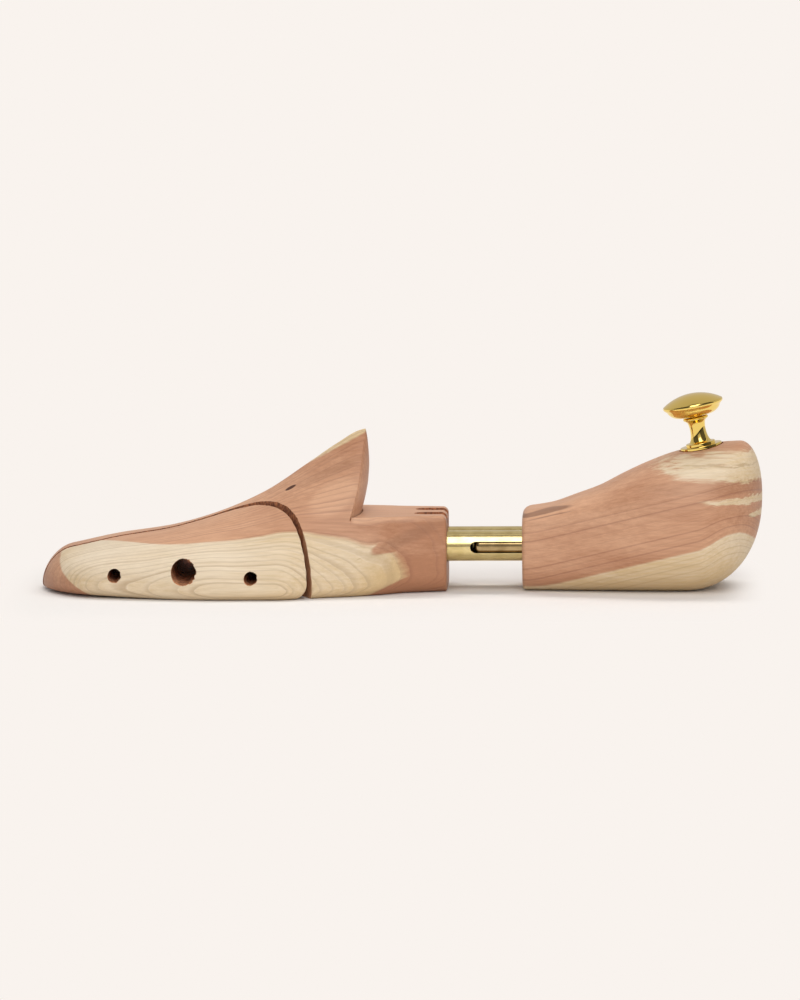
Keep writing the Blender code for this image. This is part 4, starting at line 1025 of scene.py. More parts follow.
@dataclass(frozen=True)
class Forepart:
    """The forepart: a carved last with a tall peak, sawn into a body and a sprung side wing."""

    width: float = 0.080
    peak_height: float = 0.0638
    toe_offset: float = 0.004
    toe_tip_height: float = 0.0018
    toe_spring: float = 0.0009
    toe_height: float = 0.0153
    toe_plan_rounding: float = 0.028
    toe_top_rounding: float = 0.012
    toe_sole_rounding: float = 0.004
    neck_height: float = 0.0305
    neck_width: float = 0.034
    neck_edge_radius: float = 0.0023
    neck_side_radius: float = 0.0013
    end_edge_radius: float = 0.0008
    peak_face_lean: float = 0.0032
    peak_face_bulge: float = 0.0029
    peak_face_half_width: float = 0.0205
    peak_tip_half_width: float = 0.004
    peak_edge_width: float = 0.0009
    peak_edge_depth: float = 0.0004
    sole_edge_height: float = 0.004
    sole_edge_width: float = 0.0045
    neck_sole_edge_height: float = 0.008
    neck_sole_edge_width: float = 0.0075
    corner_radius: float = 0.0062
    corner_inset: float = 0.0012
    groove_width: float = 0.0068
    groove_length: float = 0.0129
    groove_wheel_radius: float = 0.025
    groove_break_depth: float = 0.00075
    saw_roughness: float = 0.00011
    saw_wave: float = 0.0035
    saw_seed: int = 11
    saw_cut_width: float = 0.0005
    saw_cut_depth: float = 0.0011
    ridge_shares: Table = ((0, 0), (0.097, 0.05), (0.24, 0.132), (0.39, 0.198), (0.53, 0.305), (0.68, 0.478),
                           (0.825, 0.732), (0.9, 0.868), (0.975, 0.982), (1.05, 1), (2, 1))
    lateral_shares: Table = ((0, 0.48), (0.1, 0.578), (0.19, 0.652), (0.316, 0.8), (0.427, 0.917), (0.57, 1),
                             (0.72, 1), (0.865, 0.72), (1.11, 0.435), (1.46, 0.18), (2, 0))
    medial_shares: Table = ((0, 0.44), (0.1, 0.55), (0.25, 0.81), (0.4, 0.96), (0.53, 1), (0.65, 1),
                            (0.75, 0.939), (0.88, 0.739), (1.11, 0.435), (1.46, 0.18), (2, 0))
    spring_shares: Table = ((0, 1), (0.15, 1), (0.3, 0.5), (0.45, 0), (2, 0))
    ridge_side_shares: Table = ((0, 1), (0.12, 0.85), (0.35, 0.2), (0.5, 0), (2, 0))
    neck_blend_shares: Table = ((0, 0), (0.9, 0), (1.5, 0.8), (2, 1))
    ridge_powers: Table = ((0, 2.3), (0.3, 2.0), (0.44, 1.8), (0.63, 1.45), (0.79, 1.2), (1, 1.15), (2, 2.2))
    slope_powers: Table = ((0, 2.3), (0.3, 2.0), (0.44, 1.8), (0.63, 1.4), (0.79, 1.35), (1, 1.45), (2, 2.2))
    peak_face_shares: Table = ((0, 1), (0.2, 0.47), (0.39, 0.125), (0.59, 0), (0.85, 0.16), (1, 0.42), (1.12, 0.7))
    vents: tuple[tuple[float, float, float], ...] = (
        (0.0311, 0.0092, 0.0026), (0.0585, 0.011, 0.0049), (0.0849, 0.0087, 0.0026))
    torn_share: float = 0.085
    torn_wave: float = 0.0015
    torn_by_angle: tuple[float, float, float] = (0.9, 0.35, 0.06)
    torn_reach: float = 0.02
    torn_end_y: float = -0.012
    flare_share: float = 0.16
    flare_depth: float = 0.003
    flare_heading: float = math.radians(200)
    guides: tuple[float, float] = (0.0415, 0.0694)
    guide_height: float = 0.011
    guide_depth: float = 0.012
    guide_pin_radius: float = 0.0015
    guide_bush_radius: float = 0.00375
    spring_pocket_radius: float = 0.00295
    spring_pocket_depth: float = 0.005

    def along(self, table: Table, distance: np.ndarray) -> np.ndarray:
        """Read a table whose places are 0 at the toe, 1 at the peak's face and 2 at the neck's end.

        Args:
            table: Pairs of such a place and a value.
            distance: Distances from the toe.

        Returns:
            The values there.
        """
        peak_distance = LAYOUT.peak_x - LAYOUT.toe_x
        knots = [(min(share, 1) * peak_distance + max(share - 1, 0) * LAYOUT.neck_length, value)
                 for share, value in table]
        return read_table(knots, distance)

    def lines(self, distance: np.ndarray) -> tuple[np.ndarray, ...]:
        """Return near side, far side, ridge, bottom, top, widest level, ridge power and slope power.

        The plan, the ridge and the sole each follow a table and are rounded at the toe by the
        quarter of an ellipse.

        Args:
            distance: Distances from the toe.

        Returns:
            Eight arrays in the shape of distance.
        """
        half_width, half_neck = self.width / 2, self.neck_width / 2
        lateral = half_neck + (half_width - half_neck) * self.along(self.lateral_shares, distance)
        medial = half_neck + (half_width - half_neck) * self.along(self.medial_shares, distance)
        ridge_height = self.toe_height + (self.peak_height - self.toe_height) * self.along(self.ridge_shares, distance)
        plan = rounding(distance, self.toe_plan_rounding, 2)
        near = self.toe_offset - (lateral + self.toe_offset) * plan
        far = self.toe_offset + (medial - self.toe_offset) * plan
        ridge = self.toe_offset * self.along(self.ridge_side_shares, distance)
        sole = self.toe_spring * self.along(self.spring_shares, distance)
        bottom = self.toe_tip_height + (sole - self.toe_tip_height) * rounding(distance, self.toe_sole_rounding, 2)
        top = self.toe_tip_height + (ridge_height - self.toe_tip_height) * rounding(distance, self.toe_top_rounding, 2)
        blend = self.along(self.neck_blend_shares, distance)
        edge_height = self.sole_edge_height + (self.neck_sole_edge_height - self.sole_edge_height) * blend
        level = bottom + np.minimum(edge_height, (top - bottom) / 3)
        return (near, far, ridge, bottom, top, level, self.along(self.ridge_powers, distance),
                self.along(self.slope_powers, distance))

    def half_width_at(self, x: np.ndarray, z: np.ndarray) -> np.ndarray:
        """Return the blank's half width behind the ball of the foot, where it is even-sided.

        Args:
            x: Places along the tree.
            z: Heights.

        Returns:
            The half widths.
        """
        _, far, ridge, _, top, level, ridge_power, slope_power = self.lines(np.asarray(x) - LAYOUT.toe_x)
        rise = np.clip((z - level) / (top - level), 0, 1)
        sine = rise ** (slope_power / 2)
        return (far - ridge) * np.clip(1 - sine**2, 0, 1) ** (1 / ridge_power)

    def blank(self, name: str) -> Piece:
        """Loft the whole forepart, with the peak's ridge carried on over the neck.

        Args:
            name: Name of the piece.

        Returns:
            The blank.
        """
        toe = self.toe_plan_rounding * (1 - np.cos(np.linspace(0, math.pi / 2, 41)[1:]))
        instep = np.linspace(self.toe_plan_rounding, LAYOUT.peak_x - LAYOUT.toe_x, 105)[1:]
        neck = np.linspace(LAYOUT.peak_x - LAYOUT.toe_x, LAYOUT.forepart_length - self.end_edge_radius, 33)[1:]
        angles = np.linspace(0, math.pi / 2, 5)[1:]
        end = LAYOUT.forepart_length - self.end_edge_radius * (1 - np.sin(angles))
        distance = np.concatenate([toe, instep, neck, end])
        inset = np.concatenate([np.zeros(len(distance) - len(end)), self.end_edge_radius * (1 - np.cos(angles))])
        near, far, ridge, bottom, top, level, ridge_power, slope_power = self.lines(distance)
        blend = self.along(self.neck_blend_shares, distance)
        edge_width = self.sole_edge_width + (self.neck_sole_edge_width - self.sole_edge_width) * blend
        flat_share = 1 - np.minimum(edge_width / ((far - near) / 2), 1 / 2)
        sections = section_rings((near + inset, far - inset, ridge), (bottom + inset, top - inset, level),
                                 flat_share, (ridge_power, slope_power, 2), (40, 9))
        x = np.broadcast_to((LAYOUT.toe_x + distance)[:, None, None], (*sections.shape[:2], 1))
        rings = np.concatenate([x, sections], axis=2)
        return ring_surface(name, rings[::-1], (LAYOUT.toe_x, self.toe_offset, self.toe_tip_height))

    def kerf_region(self, name: str, extra: float) -> Piece:
        """Make the space on the wing's side of the kerf, with sawn walls.

        The plan runs straight back from the toe, then follows the quarter of an ellipse out to
        the side. The wall is moved along its normal by a seeded ripple of a few hundredths.

        Args:
            name: Name of the cutter.
            extra: How far the wall lies beyond the wing's own face.

        Returns:
            The cutter.
        """
        face_y = -LAYOUT.kerf_offset - LAYOUT.kerf_width
        length, width = (LAYOUT.kerf_turn_length - LAYOUT.kerf_width, LAYOUT.kerf_turn_width - LAYOUT.kerf_width)
        centre_y = face_y - width
        radii = (length + extra, width + extra)
        front_x, side_y = LAYOUT.toe_x - OVERRUN, min(-self.width / 2, centre_y) - OVERRUN
        straight = np.linspace(front_x, LAYOUT.kerf_turn_x, 71)[:-1]
        run = np.column_stack([straight, np.full(len(straight), face_y + extra)])
        bend = arc((LAYOUT.kerf_turn_x, centre_y), radii, math.pi / 2, 0, 70)
        out_y = np.linspace(centre_y, side_y, 9)[1:]
        out = np.column_stack([np.full(len(out_y), bend[-1, 0]), out_y])
        wall = np.concatenate([run, bend, out])
        tangent = np.gradient(wall, axis=0)
        normal = np.stack([-tangent[:, 1], tangent[:, 0]], axis=1)
        normal /= np.linalg.norm(normal, axis=1)[:, None]
        run_length = np.concatenate([[0], np.cumsum(np.linalg.norm(np.diff(wall, axis=0), axis=1))])
        heights = np.linspace(-OVERRUN, self.peak_height + OVERRUN, 66)
        rough = self.saw_roughness * ripple(self.saw_seed, run_length[None, :] * 3, heights[:, None], self.saw_wave)
        moved = wall[None] + rough[:, :, None] * normal[None]
        corner = np.broadcast_to(np.array([(front_x, side_y)]), (len(heights), 1, 2))
        plan = np.concatenate([moved, corner], axis=1)
        z = np.broadcast_to(heights[:, None, None], (*plan.shape[:2], 1))
        return ring_surface(name, np.concatenate([plan, z], axis=2))

    def notch_cutter(self) -> Piece:
        """Make the cutter behind the peak: it leaves the peak's bulged face and the rounded neck.

        Each slice at one y runs down the face, x = peak - lean(height) - bulge * (y / half width) ** 2,
        down a shallow saw cut at its foot, then back along the neck's top, which drops by a
        quarter circle at its sides and its end.

        Returns:
            The cutter.
        """
        reach, fine = self.width / 2 + OVERRUN, 0.024
        y = np.concatenate([np.linspace(-reach, -fine, 4)[:-1], np.linspace(-fine, fine, 149),
                            np.linspace(fine, reach, 4)[1:]])
        heights = np.linspace(self.peak_face_shares[-1][0], 0, 31)
        face_z = self.neck_height + (self.peak_height - self.neck_height) * heights
        half = self.peak_face_half_width * np.clip(1 - heights, 0, 1) + self.peak_tip_half_width * heights
        across = np.clip(np.abs(y)[:, None] / half, 0, 1.5)
        blank_half = self.half_width_at(np.full(len(heights), LAYOUT.peak_x), face_z)
        edge = np.clip((np.abs(y)[:, None] - blank_half) / self.peak_edge_width + 1, 0, 1)
        face_x = (LAYOUT.peak_x - self.peak_face_lean * read_table(self.peak_face_shares, heights)
                  - self.peak_face_bulge * across**2 - self.peak_edge_depth * edge**2)
        bend = arc((LAYOUT.neck_end_x - self.neck_edge_radius, self.neck_height - self.neck_edge_radius),
                   (self.neck_edge_radius, self.neck_edge_radius), math.pi / 2, 0, 10)
        share = np.linspace(0, 1, 27)[1:-1]
        floor_x = face_x[:, -1:] + share * (bend[0, 0] - face_x[:, -1:])
        cut = np.array([(0, -self.saw_cut_depth), (self.saw_cut_width, -self.saw_cut_depth), (self.saw_cut_width, 0)])
        back = np.array([(LAYOUT.neck_end_x + OVERRUN, bend[-1, 1])])
        tail = np.concatenate([bend, back])
        floor_x = np.concatenate([face_x[:, -1:] + cut[:, 0], floor_x,
                                  np.broadcast_to(tail[:, 0], (len(y), len(tail)))], axis=1)
        floor_z = np.concatenate([self.neck_height + cut[:, 1], np.full(len(share), self.neck_height), tail[:, 1]])
        side = self.half_width_at(np.clip(floor_x, None, LAYOUT.neck_end_x),
                                  np.full_like(floor_x, self.neck_height - self.neck_side_radius))
        fall = np.clip((np.abs(y)[:, None] - side) / self.neck_side_radius + 1, 0, 1)
        floor_z = floor_z - self.neck_side_radius * (1 - np.sqrt(1 - fall**2))
        lid = np.broadcast_to(np.array([LAYOUT.neck_end_x + OVERRUN, face_z[0]]), (len(y), 1, 2))
        face = np.stack([face_x, np.broadcast_to(face_z, face_x.shape)], axis=2)
        floor = np.stack([floor_x, floor_z], axis=2)
        slices = np.concatenate([face, floor, lid], axis=1)
        side_y = np.broadcast_to(y[:, None, None], (*slices.shape[:2], 1))
        return ring_surface("notch", np.concatenate([slices[..., :1], side_y, slices[..., 1:]], axis=2))

    def vent_cutter(self, place: float, height: float, radius: float, seed: int) -> Piece:
        """Make a drill's cutter across the forepart, whose edge is torn on the heel's side.

        The radius grows by a seeded ripple of the angle and the depth, most where the angle
        faces the heel and near the outer mouth. On the toe's side it flares just below the
        surface.

        Args:
            place: Distance from the toe.
            height: Height of its axis.
            radius: The drill's radius.
            seed: Seed of the ripple.

        Returns:
            The cutter.
        """
        reach, plain_start = self.width / 2 + OVERRUN, -0.018
        y = np.concatenate([np.linspace(-reach, -reach + self.torn_reach, 41), np.linspace(plain_start, reach, 12)])
        angles = np.linspace(0, 2 * math.pi, 80, endpoint=False)
        turn = np.stack([np.cos(angles), np.sin(angles)], axis=1) * radius
        rough = ripple(seed, turn[None, :, 0] * 2 + y[:, None] * 0.4, turn[None, :, 1] * 2, self.torn_wave, 18)
        mouth = np.clip((self.torn_end_y - y) / self.torn_reach, 0, 1)[:, None]
        swing, level, least = self.torn_by_angle
        torn = np.clip(np.cos(angles) * swing + level, least, 1)[None, :]
        surface_y = self.lines(np.array([place]))[0][0]
        flare = np.clip((surface_y + self.flare_depth - y) / self.flare_depth, 0, 1.5)[:, None] ** 2
        toeward = np.clip(np.cos(angles - self.flare_heading), 0, 1)[None, :] ** 2
        grown = 1 + self.torn_share * mouth * torn * np.clip(rough, -0.5, 2) + self.flare_share * flare * toeward
        x = LAYOUT.toe_x + place + turn[None, :, 0] * grown
        z = height + turn[None, :, 1] * grown
        rings = np.stack([x, np.broadcast_to(y[:, None], x.shape), z], axis=2)
        return ring_surface("vent", rings)

    def groove_cutter(self, side: Side) -> Piece:
        """Make the round-bottomed cut over a tube.

        A U of the groove's width is carried along a wheel's arc that runs out at the neck's top
        in front and opens the bore behind, so its front end is a point.

        Args:
            side: The tube's side.

        Returns:
            The cutter.
        """
        floor_z = LAYOUT.tube_height + LAYOUT.bore_radius - self.groove_break_depth
        depth = self.neck_height - floor_z
        start = np.array([LAYOUT.neck_end_x - self.groove_length, self.neck_height])
        end = np.array([LAYOUT.neck_end_x, floor_z])
        span = math.hypot(self.groove_length, depth)
        lean = math.atan2(depth, self.groove_length)
        reach = math.sqrt(self.groove_wheel_radius**2 - span**2 / 4)
        centre = (start + end) / 2 + reach * np.array([math.sin(lean), math.cos(lean)])
        first = math.atan2(*(start - centre)[::-1]) % (2 * math.pi)
        last = math.atan2(*(end - centre)[::-1]) % (2 * math.pi)
        run_out, lid = 0.12, 0.012
        angles = np.linspace(first - run_out, last + run_out, 40)
        radial = np.stack([np.cos(angles), np.sin(angles)], axis=1)
        bottom = np.linspace(-math.pi, 0, 19)
        half = self.groove_width / 2
        sideways = np.concatenate([half * np.cos(bottom), [half, -half]])
        inward = np.concatenate([half + half * np.sin(bottom), [lid, lid]])
        away = self.groove_wheel_radius - inward
        x = centre[0] + radial[:, :1] * away
        z = centre[1] + radial[:, 1:] * away
        y = np.broadcast_to(side.value * LAYOUT.tube_offset + sideways, x.shape)
        return ring_surface("groove", np.stack([x, y, z], axis=2))

    def corner_cutter(self) -> Piece:
        """Make the cutter that rounds the wing's lower rear corner.

        Returns:
            The cutter.
        """
        x = LAYOUT.kerf_turn_x + LAYOUT.kerf_turn_length - LAYOUT.kerf_width - self.corner_inset
        radius = self.corner_radius
        bend = arc((x - radius, radius), (radius, radius), 0, -math.pi / 2, 12)
        outline = np.concatenate([bend, [(x - radius, -OVERRUN), (x + OVERRUN, -OVERRUN), (x + OVERRUN, radius)]])
        inner_y = -0.012
        return prism("corner", outline, -self.width / 2 - OVERRUN, inner_y)

    def side_holes(self, profile: Sequence[Sequence[float]], face_y: float) -> list[Piece]:
        """Make the cutters of the vents, and of the two guides' holes in one face of the kerf.

        Args:
            profile: Radii and depths of a guide's hole.
            face_y: Y of the face.

        Returns:
            The cutters.
        """
        vents = [self.vent_cutter(*vent, seed) for seed, vent in enumerate(self.vents)]
        return vents + [turned("guide_hole", profile, (LAYOUT.toe_x + place, face_y, self.guide_height), ALONG_Y, 32)
                        for place in self.guides]

    def build(self, finishes: Finishes) -> Pieces:
        """Make the body and the wing from the same blank.

        Args:
            finishes: The wood materials by name.

        Returns:
            The two pieces by the node that they replace.
        """
        body, wing = self.blank("forepart_body_carved"), self.blank("toe_wing_carved")
        body.data.materials.append(finishes["body"])
        wing.data.materials.append(finishes["wing"])
        sawn, bored = finishes["sawn"], finishes["bored"]
        body_face = -LAYOUT.kerf_offset
        wing_face = body_face - LAYOUT.kerf_width
        carve(body, self.kerf_region("body_kerf", LAYOUT.kerf_width), sawn)
        carve(body, self.notch_cutter(), finishes["body"])
        bush, depth = self.guide_bush_radius + FIT_GAP, self.guide_depth + FIT_GAP
        bush_profile = [(0, -OVERRUN), (bush, -OVERRUN), (bush, depth), (0, depth)]
        holes = self.side_holes(bush_profile, body_face)
        brads = BradHoles()
        brad_top = LAYOUT.tube_height - LAYOUT.tube_radius + LAYOUT.tube_wall
        for side in Side:
            holes.append(brads.cutter("brad_hole", LAYOUT.neck_end_x - LAYOUT.brad_setback,
                                      side.value * LAYOUT.tube_offset, brad_top))
        carve(body, joined("body_holes", holes), bored)
        length = LAYOUT.neck_end_x - LAYOUT.tube_front_x + FIT_GAP + OVERRUN
        bores = [turned("bore", [(0, 0), (LAYOUT.bore_radius, 0), (LAYOUT.bore_radius, length), (0, length)],
                        (LAYOUT.tube_front_x - FIT_GAP, side.value * LAYOUT.tube_offset, LAYOUT.tube_height),
                        ALONG_X, 64) for side in Side]
        carve(body, joined("neck_bores", bores), bored)
        carve(body, joined("grooves", [self.groove_cutter(side) for side in Side]), sawn)
        carve(wing, self.kerf_region("wing_kerf", 0.0), sawn, Cut.INSIDE)
        carve(wing, self.corner_cutter(), finishes["wing"])
        pin, pocket = self.guide_pin_radius + FIT_GAP, self.spring_pocket_radius + FIT_GAP
        floor = -self.spring_pocket_depth
        pin_profile = [(0, -depth), (pin, -depth), (pin, floor), (pocket, floor), (pocket, OVERRUN), (0, OVERRUN)]
        carve(wing, joined("wing_holes", self.side_holes(pin_profile, wing_face)), bored)
        return {"forepart_body": body, "toe_wing": wing}


@dataclass(frozen=True)
class KnobSeat:
    """Where the knob's axis stands on the heel block."""

    setback: float = 0.02385
    tilt: float = math.radians(11)
    depth: float = 0.0009

    def place(self, heel: "HeelBlock", height: float) -> np.ndarray:
        """Return the point on the knob's axis at a height above its seat.

        Args:
            heel: The block that carries it.
            height: The height.

        Returns:
            The point.
        """
        distance = LAYOUT.heel_length - self.setback
        seat = np.array([LAYOUT.heel_front_x + distance, 0, float(heel.top(distance)) - self.depth])
        return seat + height * self.axis

    @property
    def axis(self) -> np.ndarray:
        """Unit vector up the knob's axis, which leans towards the toe."""
        return np.array([-math.sin(self.tilt), 0, math.cos(self.tilt)])


@dataclass(frozen=True)
class HeelBlock:
    """The heel block: flat in front, full and rounded at its back."""

    front_height: float = 0.0315
    height: float = 0.0583
    front_width: float = 0.034
    width: float = 0.056
    front_edge_radius: float = 0.0016
    front_top_rounding: float = 0.0036
    front_top_drop: float = 0.0026
    back_height: float = 0.037
    back_plan_rounding: float = 0.0276
    back_top_rounding: float = 0.0088
    back_sole_rounding: float = 0.0315
    flat_share: float = 0.3
    sole_power: float = 2.5
    top_shares: Table = ((0, 0), (0.122, 0.068), (0.222, 0.19), (0.323, 0.323), (0.423, 0.506), (0.524, 0.673),
                         (0.634, 0.82), (0.748, 0.913), (0.85, 0.973), (1, 1))
    width_shares: Table = ((0, 0), (0.122, 0.18), (0.34, 0.545), (0.55, 0.91), (0.7, 1), (1, 1))
    level_shares: Table = ((0, 0.4), (0.6, 0.45), (1, 0.5))
    crown_powers: Table = ((0, 4.5), (0.3, 3.2), (0.6, 2.6), (0.8, 2.4), (1, 2.3))
    brad_x: float = LAYOUT.wide_bore_back_x + LAYOUT.heel_grip / 2
    screw_radius: float = 0.0025
    screw_depth: float = 0.019
    facing_radius: float = 0.0089
    facing_height: float = 0.02

    def top(self, distance: np.ndarray | float) -> np.ndarray:
        """Return the top line's height.

        Args:
            distance: Distances behind the front face.

        Returns:
            The heights.
        """
        distance = np.asarray(distance, dtype=float)
        line = self.front_height + (self.height - self.front_height) * read_table(
            self.top_shares, distance / LAYOUT.heel_length)
        rise = rounding(LAYOUT.heel_length - distance, self.back_top_rounding, 2.1)
        return self.back_height + (line - self.back_height) * rise

    def blank(self, name: str) -> Piece:
        """Loft the block from its front face to the pole at its back.

        Height and width follow their tables and are rounded at the back in plan, over the top
        and under the sole by quarters of superellipses.

        Args:
            name: Name of the piece.

        Returns:
            The blank.
        """
        radius = self.front_edge_radius
        angles = np.linspace(0, math.pi / 2, 7)
        front = radius * (1 - np.cos(angles))
        middle = np.linspace(radius, LAYOUT.heel_length - self.back_sole_rounding, 64)[1:]
        turn = np.linspace(math.pi / 2, 0, 46)[1:-1]
        back = LAYOUT.heel_length - self.back_sole_rounding * (1 - np.cos(turn))
        distance = np.concatenate([front, middle, back])
        inset = np.concatenate([radius * (1 - np.sin(angles)), np.zeros(len(middle) + len(back))])
        share, left = distance / LAYOUT.heel_length, LAYOUT.heel_length - distance
        half_front = self.front_width / 2
        half = half_front + (self.width / 2 - half_front) * read_table(self.width_shares, share)
        half *= rounding(left, self.back_plan_rounding, 2.1)
        fall = self.front_top_drop * (1 - rounding(distance, self.front_top_rounding, 2))
        top = self.top(distance)
        bottom = self.back_height * (1 - rounding(left, self.back_sole_rounding, 2.2))
        level = bottom + (top - bottom) * read_table(self.level_shares, share)
        crown = read_table(self.crown_powers, share)
        sections = section_rings((inset - half, half - inset, np.zeros(len(distance))),
                                 (bottom + inset, top - np.maximum(inset, fall), level),
                                 np.full(len(distance), self.flat_share), (crown, crown, self.sole_power), (34, 22))
        x = np.broadcast_to((LAYOUT.heel_front_x + distance)[:, None, None], (*sections.shape[:2], 1))
        return ring_surface(name, np.concatenate([x, sections], axis=2),
                            (LAYOUT.heel_back_x, 0, self.back_height))

    def build(self, finishes: Finishes, seat: KnobSeat) -> Pieces:
        """Make the block, bored for the tubes, the brads and the knob.

        Args:
            finishes: The wood materials by name.
            seat: Where the knob stands.

        Returns:
            The piece by the node that it replaces.
        """
        heel = self.blank("heel_block_carved")
        heel.data.materials.append(finishes["heel"])
        start = LAYOUT.heel_front_x - OVERRUN
        wide, narrow = LAYOUT.bore_radius, LAYOUT.inner_radius + FIT_GAP
        step, end = LAYOUT.wide_bore_back_x - start, LAYOUT.inner_back_x + FIT_GAP - start
        profile = [(0, 0), (wide, 0), (wide, step), (narrow, step), (narrow, end), (0, end)]
        bores = [turned("bore", profile, (start, side.value * LAYOUT.tube_offset, LAYOUT.tube_height), ALONG_X, 64)
                 for side in Side]
        carve(heel, joined("heel_bores", bores), finishes["heel_bored"])
        brads = BradHoles()
        brad_top = LAYOUT.tube_height - LAYOUT.inner_radius + LAYOUT.tube_wall
        holes = [brads.cutter("brad_hole", self.brad_x, side.value * LAYOUT.tube_offset, brad_top) for side in Side]
        depth, screw = self.screw_depth + FIT_GAP, self.screw_radius + FIT_GAP
        profile = [(0, -depth), (screw, -depth), (screw, 0), (self.facing_radius, 0),
                   (self.facing_radius, self.facing_height), (0, self.facing_height)]
        holes.append(turned("seat", profile, seat.place(self, 0), seat.axis, 64))
        carve(heel, joined("heel_holes", holes), finishes["heel_bored"])
        return {"heel_block": heel}


@dataclass(frozen=True)
class TubeSet:
    """One side's telescoping tubes: a slotted outer tube and an inner tube with a rounded nose."""

    side: Side
    nose_radius: float = 0.0024
    end_edge: float = 0.00025
    steps: int = 96

    @property
    def label(self) -> str:
        """The side's name in node names."""
        return self.side.name.lower()

    def outer(self) -> tuple[Piece, Piece]:
        """Turn the outer tube, with softened ends.

        Returns:
            The tube, and the cutter of its slot and its brad hole.
        """
        length = LAYOUT.tube_back_x - LAYOUT.tube_front_x
        radius, inside, edge = LAYOUT.tube_radius, LAYOUT.tube_radius - LAYOUT.tube_wall, self.end_edge
        profile = [(radius - edge, 0), (radius, edge), (radius, length - edge), (radius - edge, length),
                   (inside + edge, length), (inside, length - edge), (inside, edge), (inside + edge, 0)]
        y = self.side.value * LAYOUT.tube_offset
        made = turned(f"outer_tube_{self.label}_drawn", profile, (LAYOUT.tube_front_x, y, LAYOUT.tube_height),
                      ALONG_X, self.steps, closed=True)
        half = LAYOUT.slot_width / 2
        front = arc((LAYOUT.slot_front_x + half, LAYOUT.tube_height), (half, half), math.pi / 2, math.pi * 3 / 2, 24)
        back = arc((LAYOUT.slot_back_x - half, LAYOUT.tube_height), (half, half), -math.pi / 2, math.pi / 2, 24)
        low, high = sorted((y, y + self.side.value * (radius + OVERRUN)))
        slot = prism("slot", np.concatenate([front, back]), low, high)
        top = LAYOUT.tube_height - inside + BradHoles().radius + FIT_GAP
        hole = BradHoles().cutter("brad_hole", LAYOUT.neck_end_x - LAYOUT.brad_setback, y, top)
        return made, joined("slot_and_hole", [slot, hole])

    def inner(self) -> tuple[Piece, Piece]:
        """Turn the inner tube, closed in front by a rounded nose.

        Returns:
            The tube, and the cutter of its stop pin's and its brad's holes.
        """
        radius, length = LAYOUT.inner_radius, LAYOUT.inner_back_x - LAYOUT.inner_front_x
        inside, wall = radius - LAYOUT.tube_wall, LAYOUT.tube_wall
        nose = arc((radius - self.nose_radius, self.nose_radius), (self.nose_radius, self.nose_radius),
                   0, -math.pi / 2, 12)
        profile = np.concatenate([
            [(0, wall), (inside - wall, wall), (inside, self.nose_radius), (inside, length), (radius, length)],
            nose, [(0, 0)]])
        y = self.side.value * LAYOUT.tube_offset
        made = turned(f"inner_tube_{self.label}_drawn", profile, (LAYOUT.inner_front_x, y, LAYOUT.tube_height),
                      ALONG_X, self.steps)
        stop, reach = LAYOUT.slot_width / 2, LAYOUT.tube_radius
        pin = turned("stop_hole", [(0, 0), (stop, 0), (stop, 2 * reach), (0, 2 * reach)],
                     (LAYOUT.slot_back_x - stop, y - reach, LAYOUT.tube_height), ALONG_Y, 40)
        top = LAYOUT.tube_height - inside + BradHoles().radius + FIT_GAP
        hole = BradHoles().cutter("brad_hole", HeelBlock().brad_x, y, top)
        return made, joined("pin_and_brad_holes", [pin, hole])

    def build(self, finishes: Finishes) -> Pieces:
        """Make both tubes.

        Args:
            finishes: The metal materials by name.

        Returns:
            The two pieces by the node that each replaces.
        """
        outer, outer_cutter = self.outer()
        inner, inner_cutter = self.inner()
        outer.data.materials.append(finishes["drawn brass"])
        inner.data.materials.append(finishes["inner brass with painted shade"])
        carve(outer, outer_cutter, finishes["cut brass"])
        carve(inner, inner_cutter, finishes["inner brass with painted shade"])
        return {f"outer_tube_{self.label}": outer, f"inner_tube_{self.label}": inner}


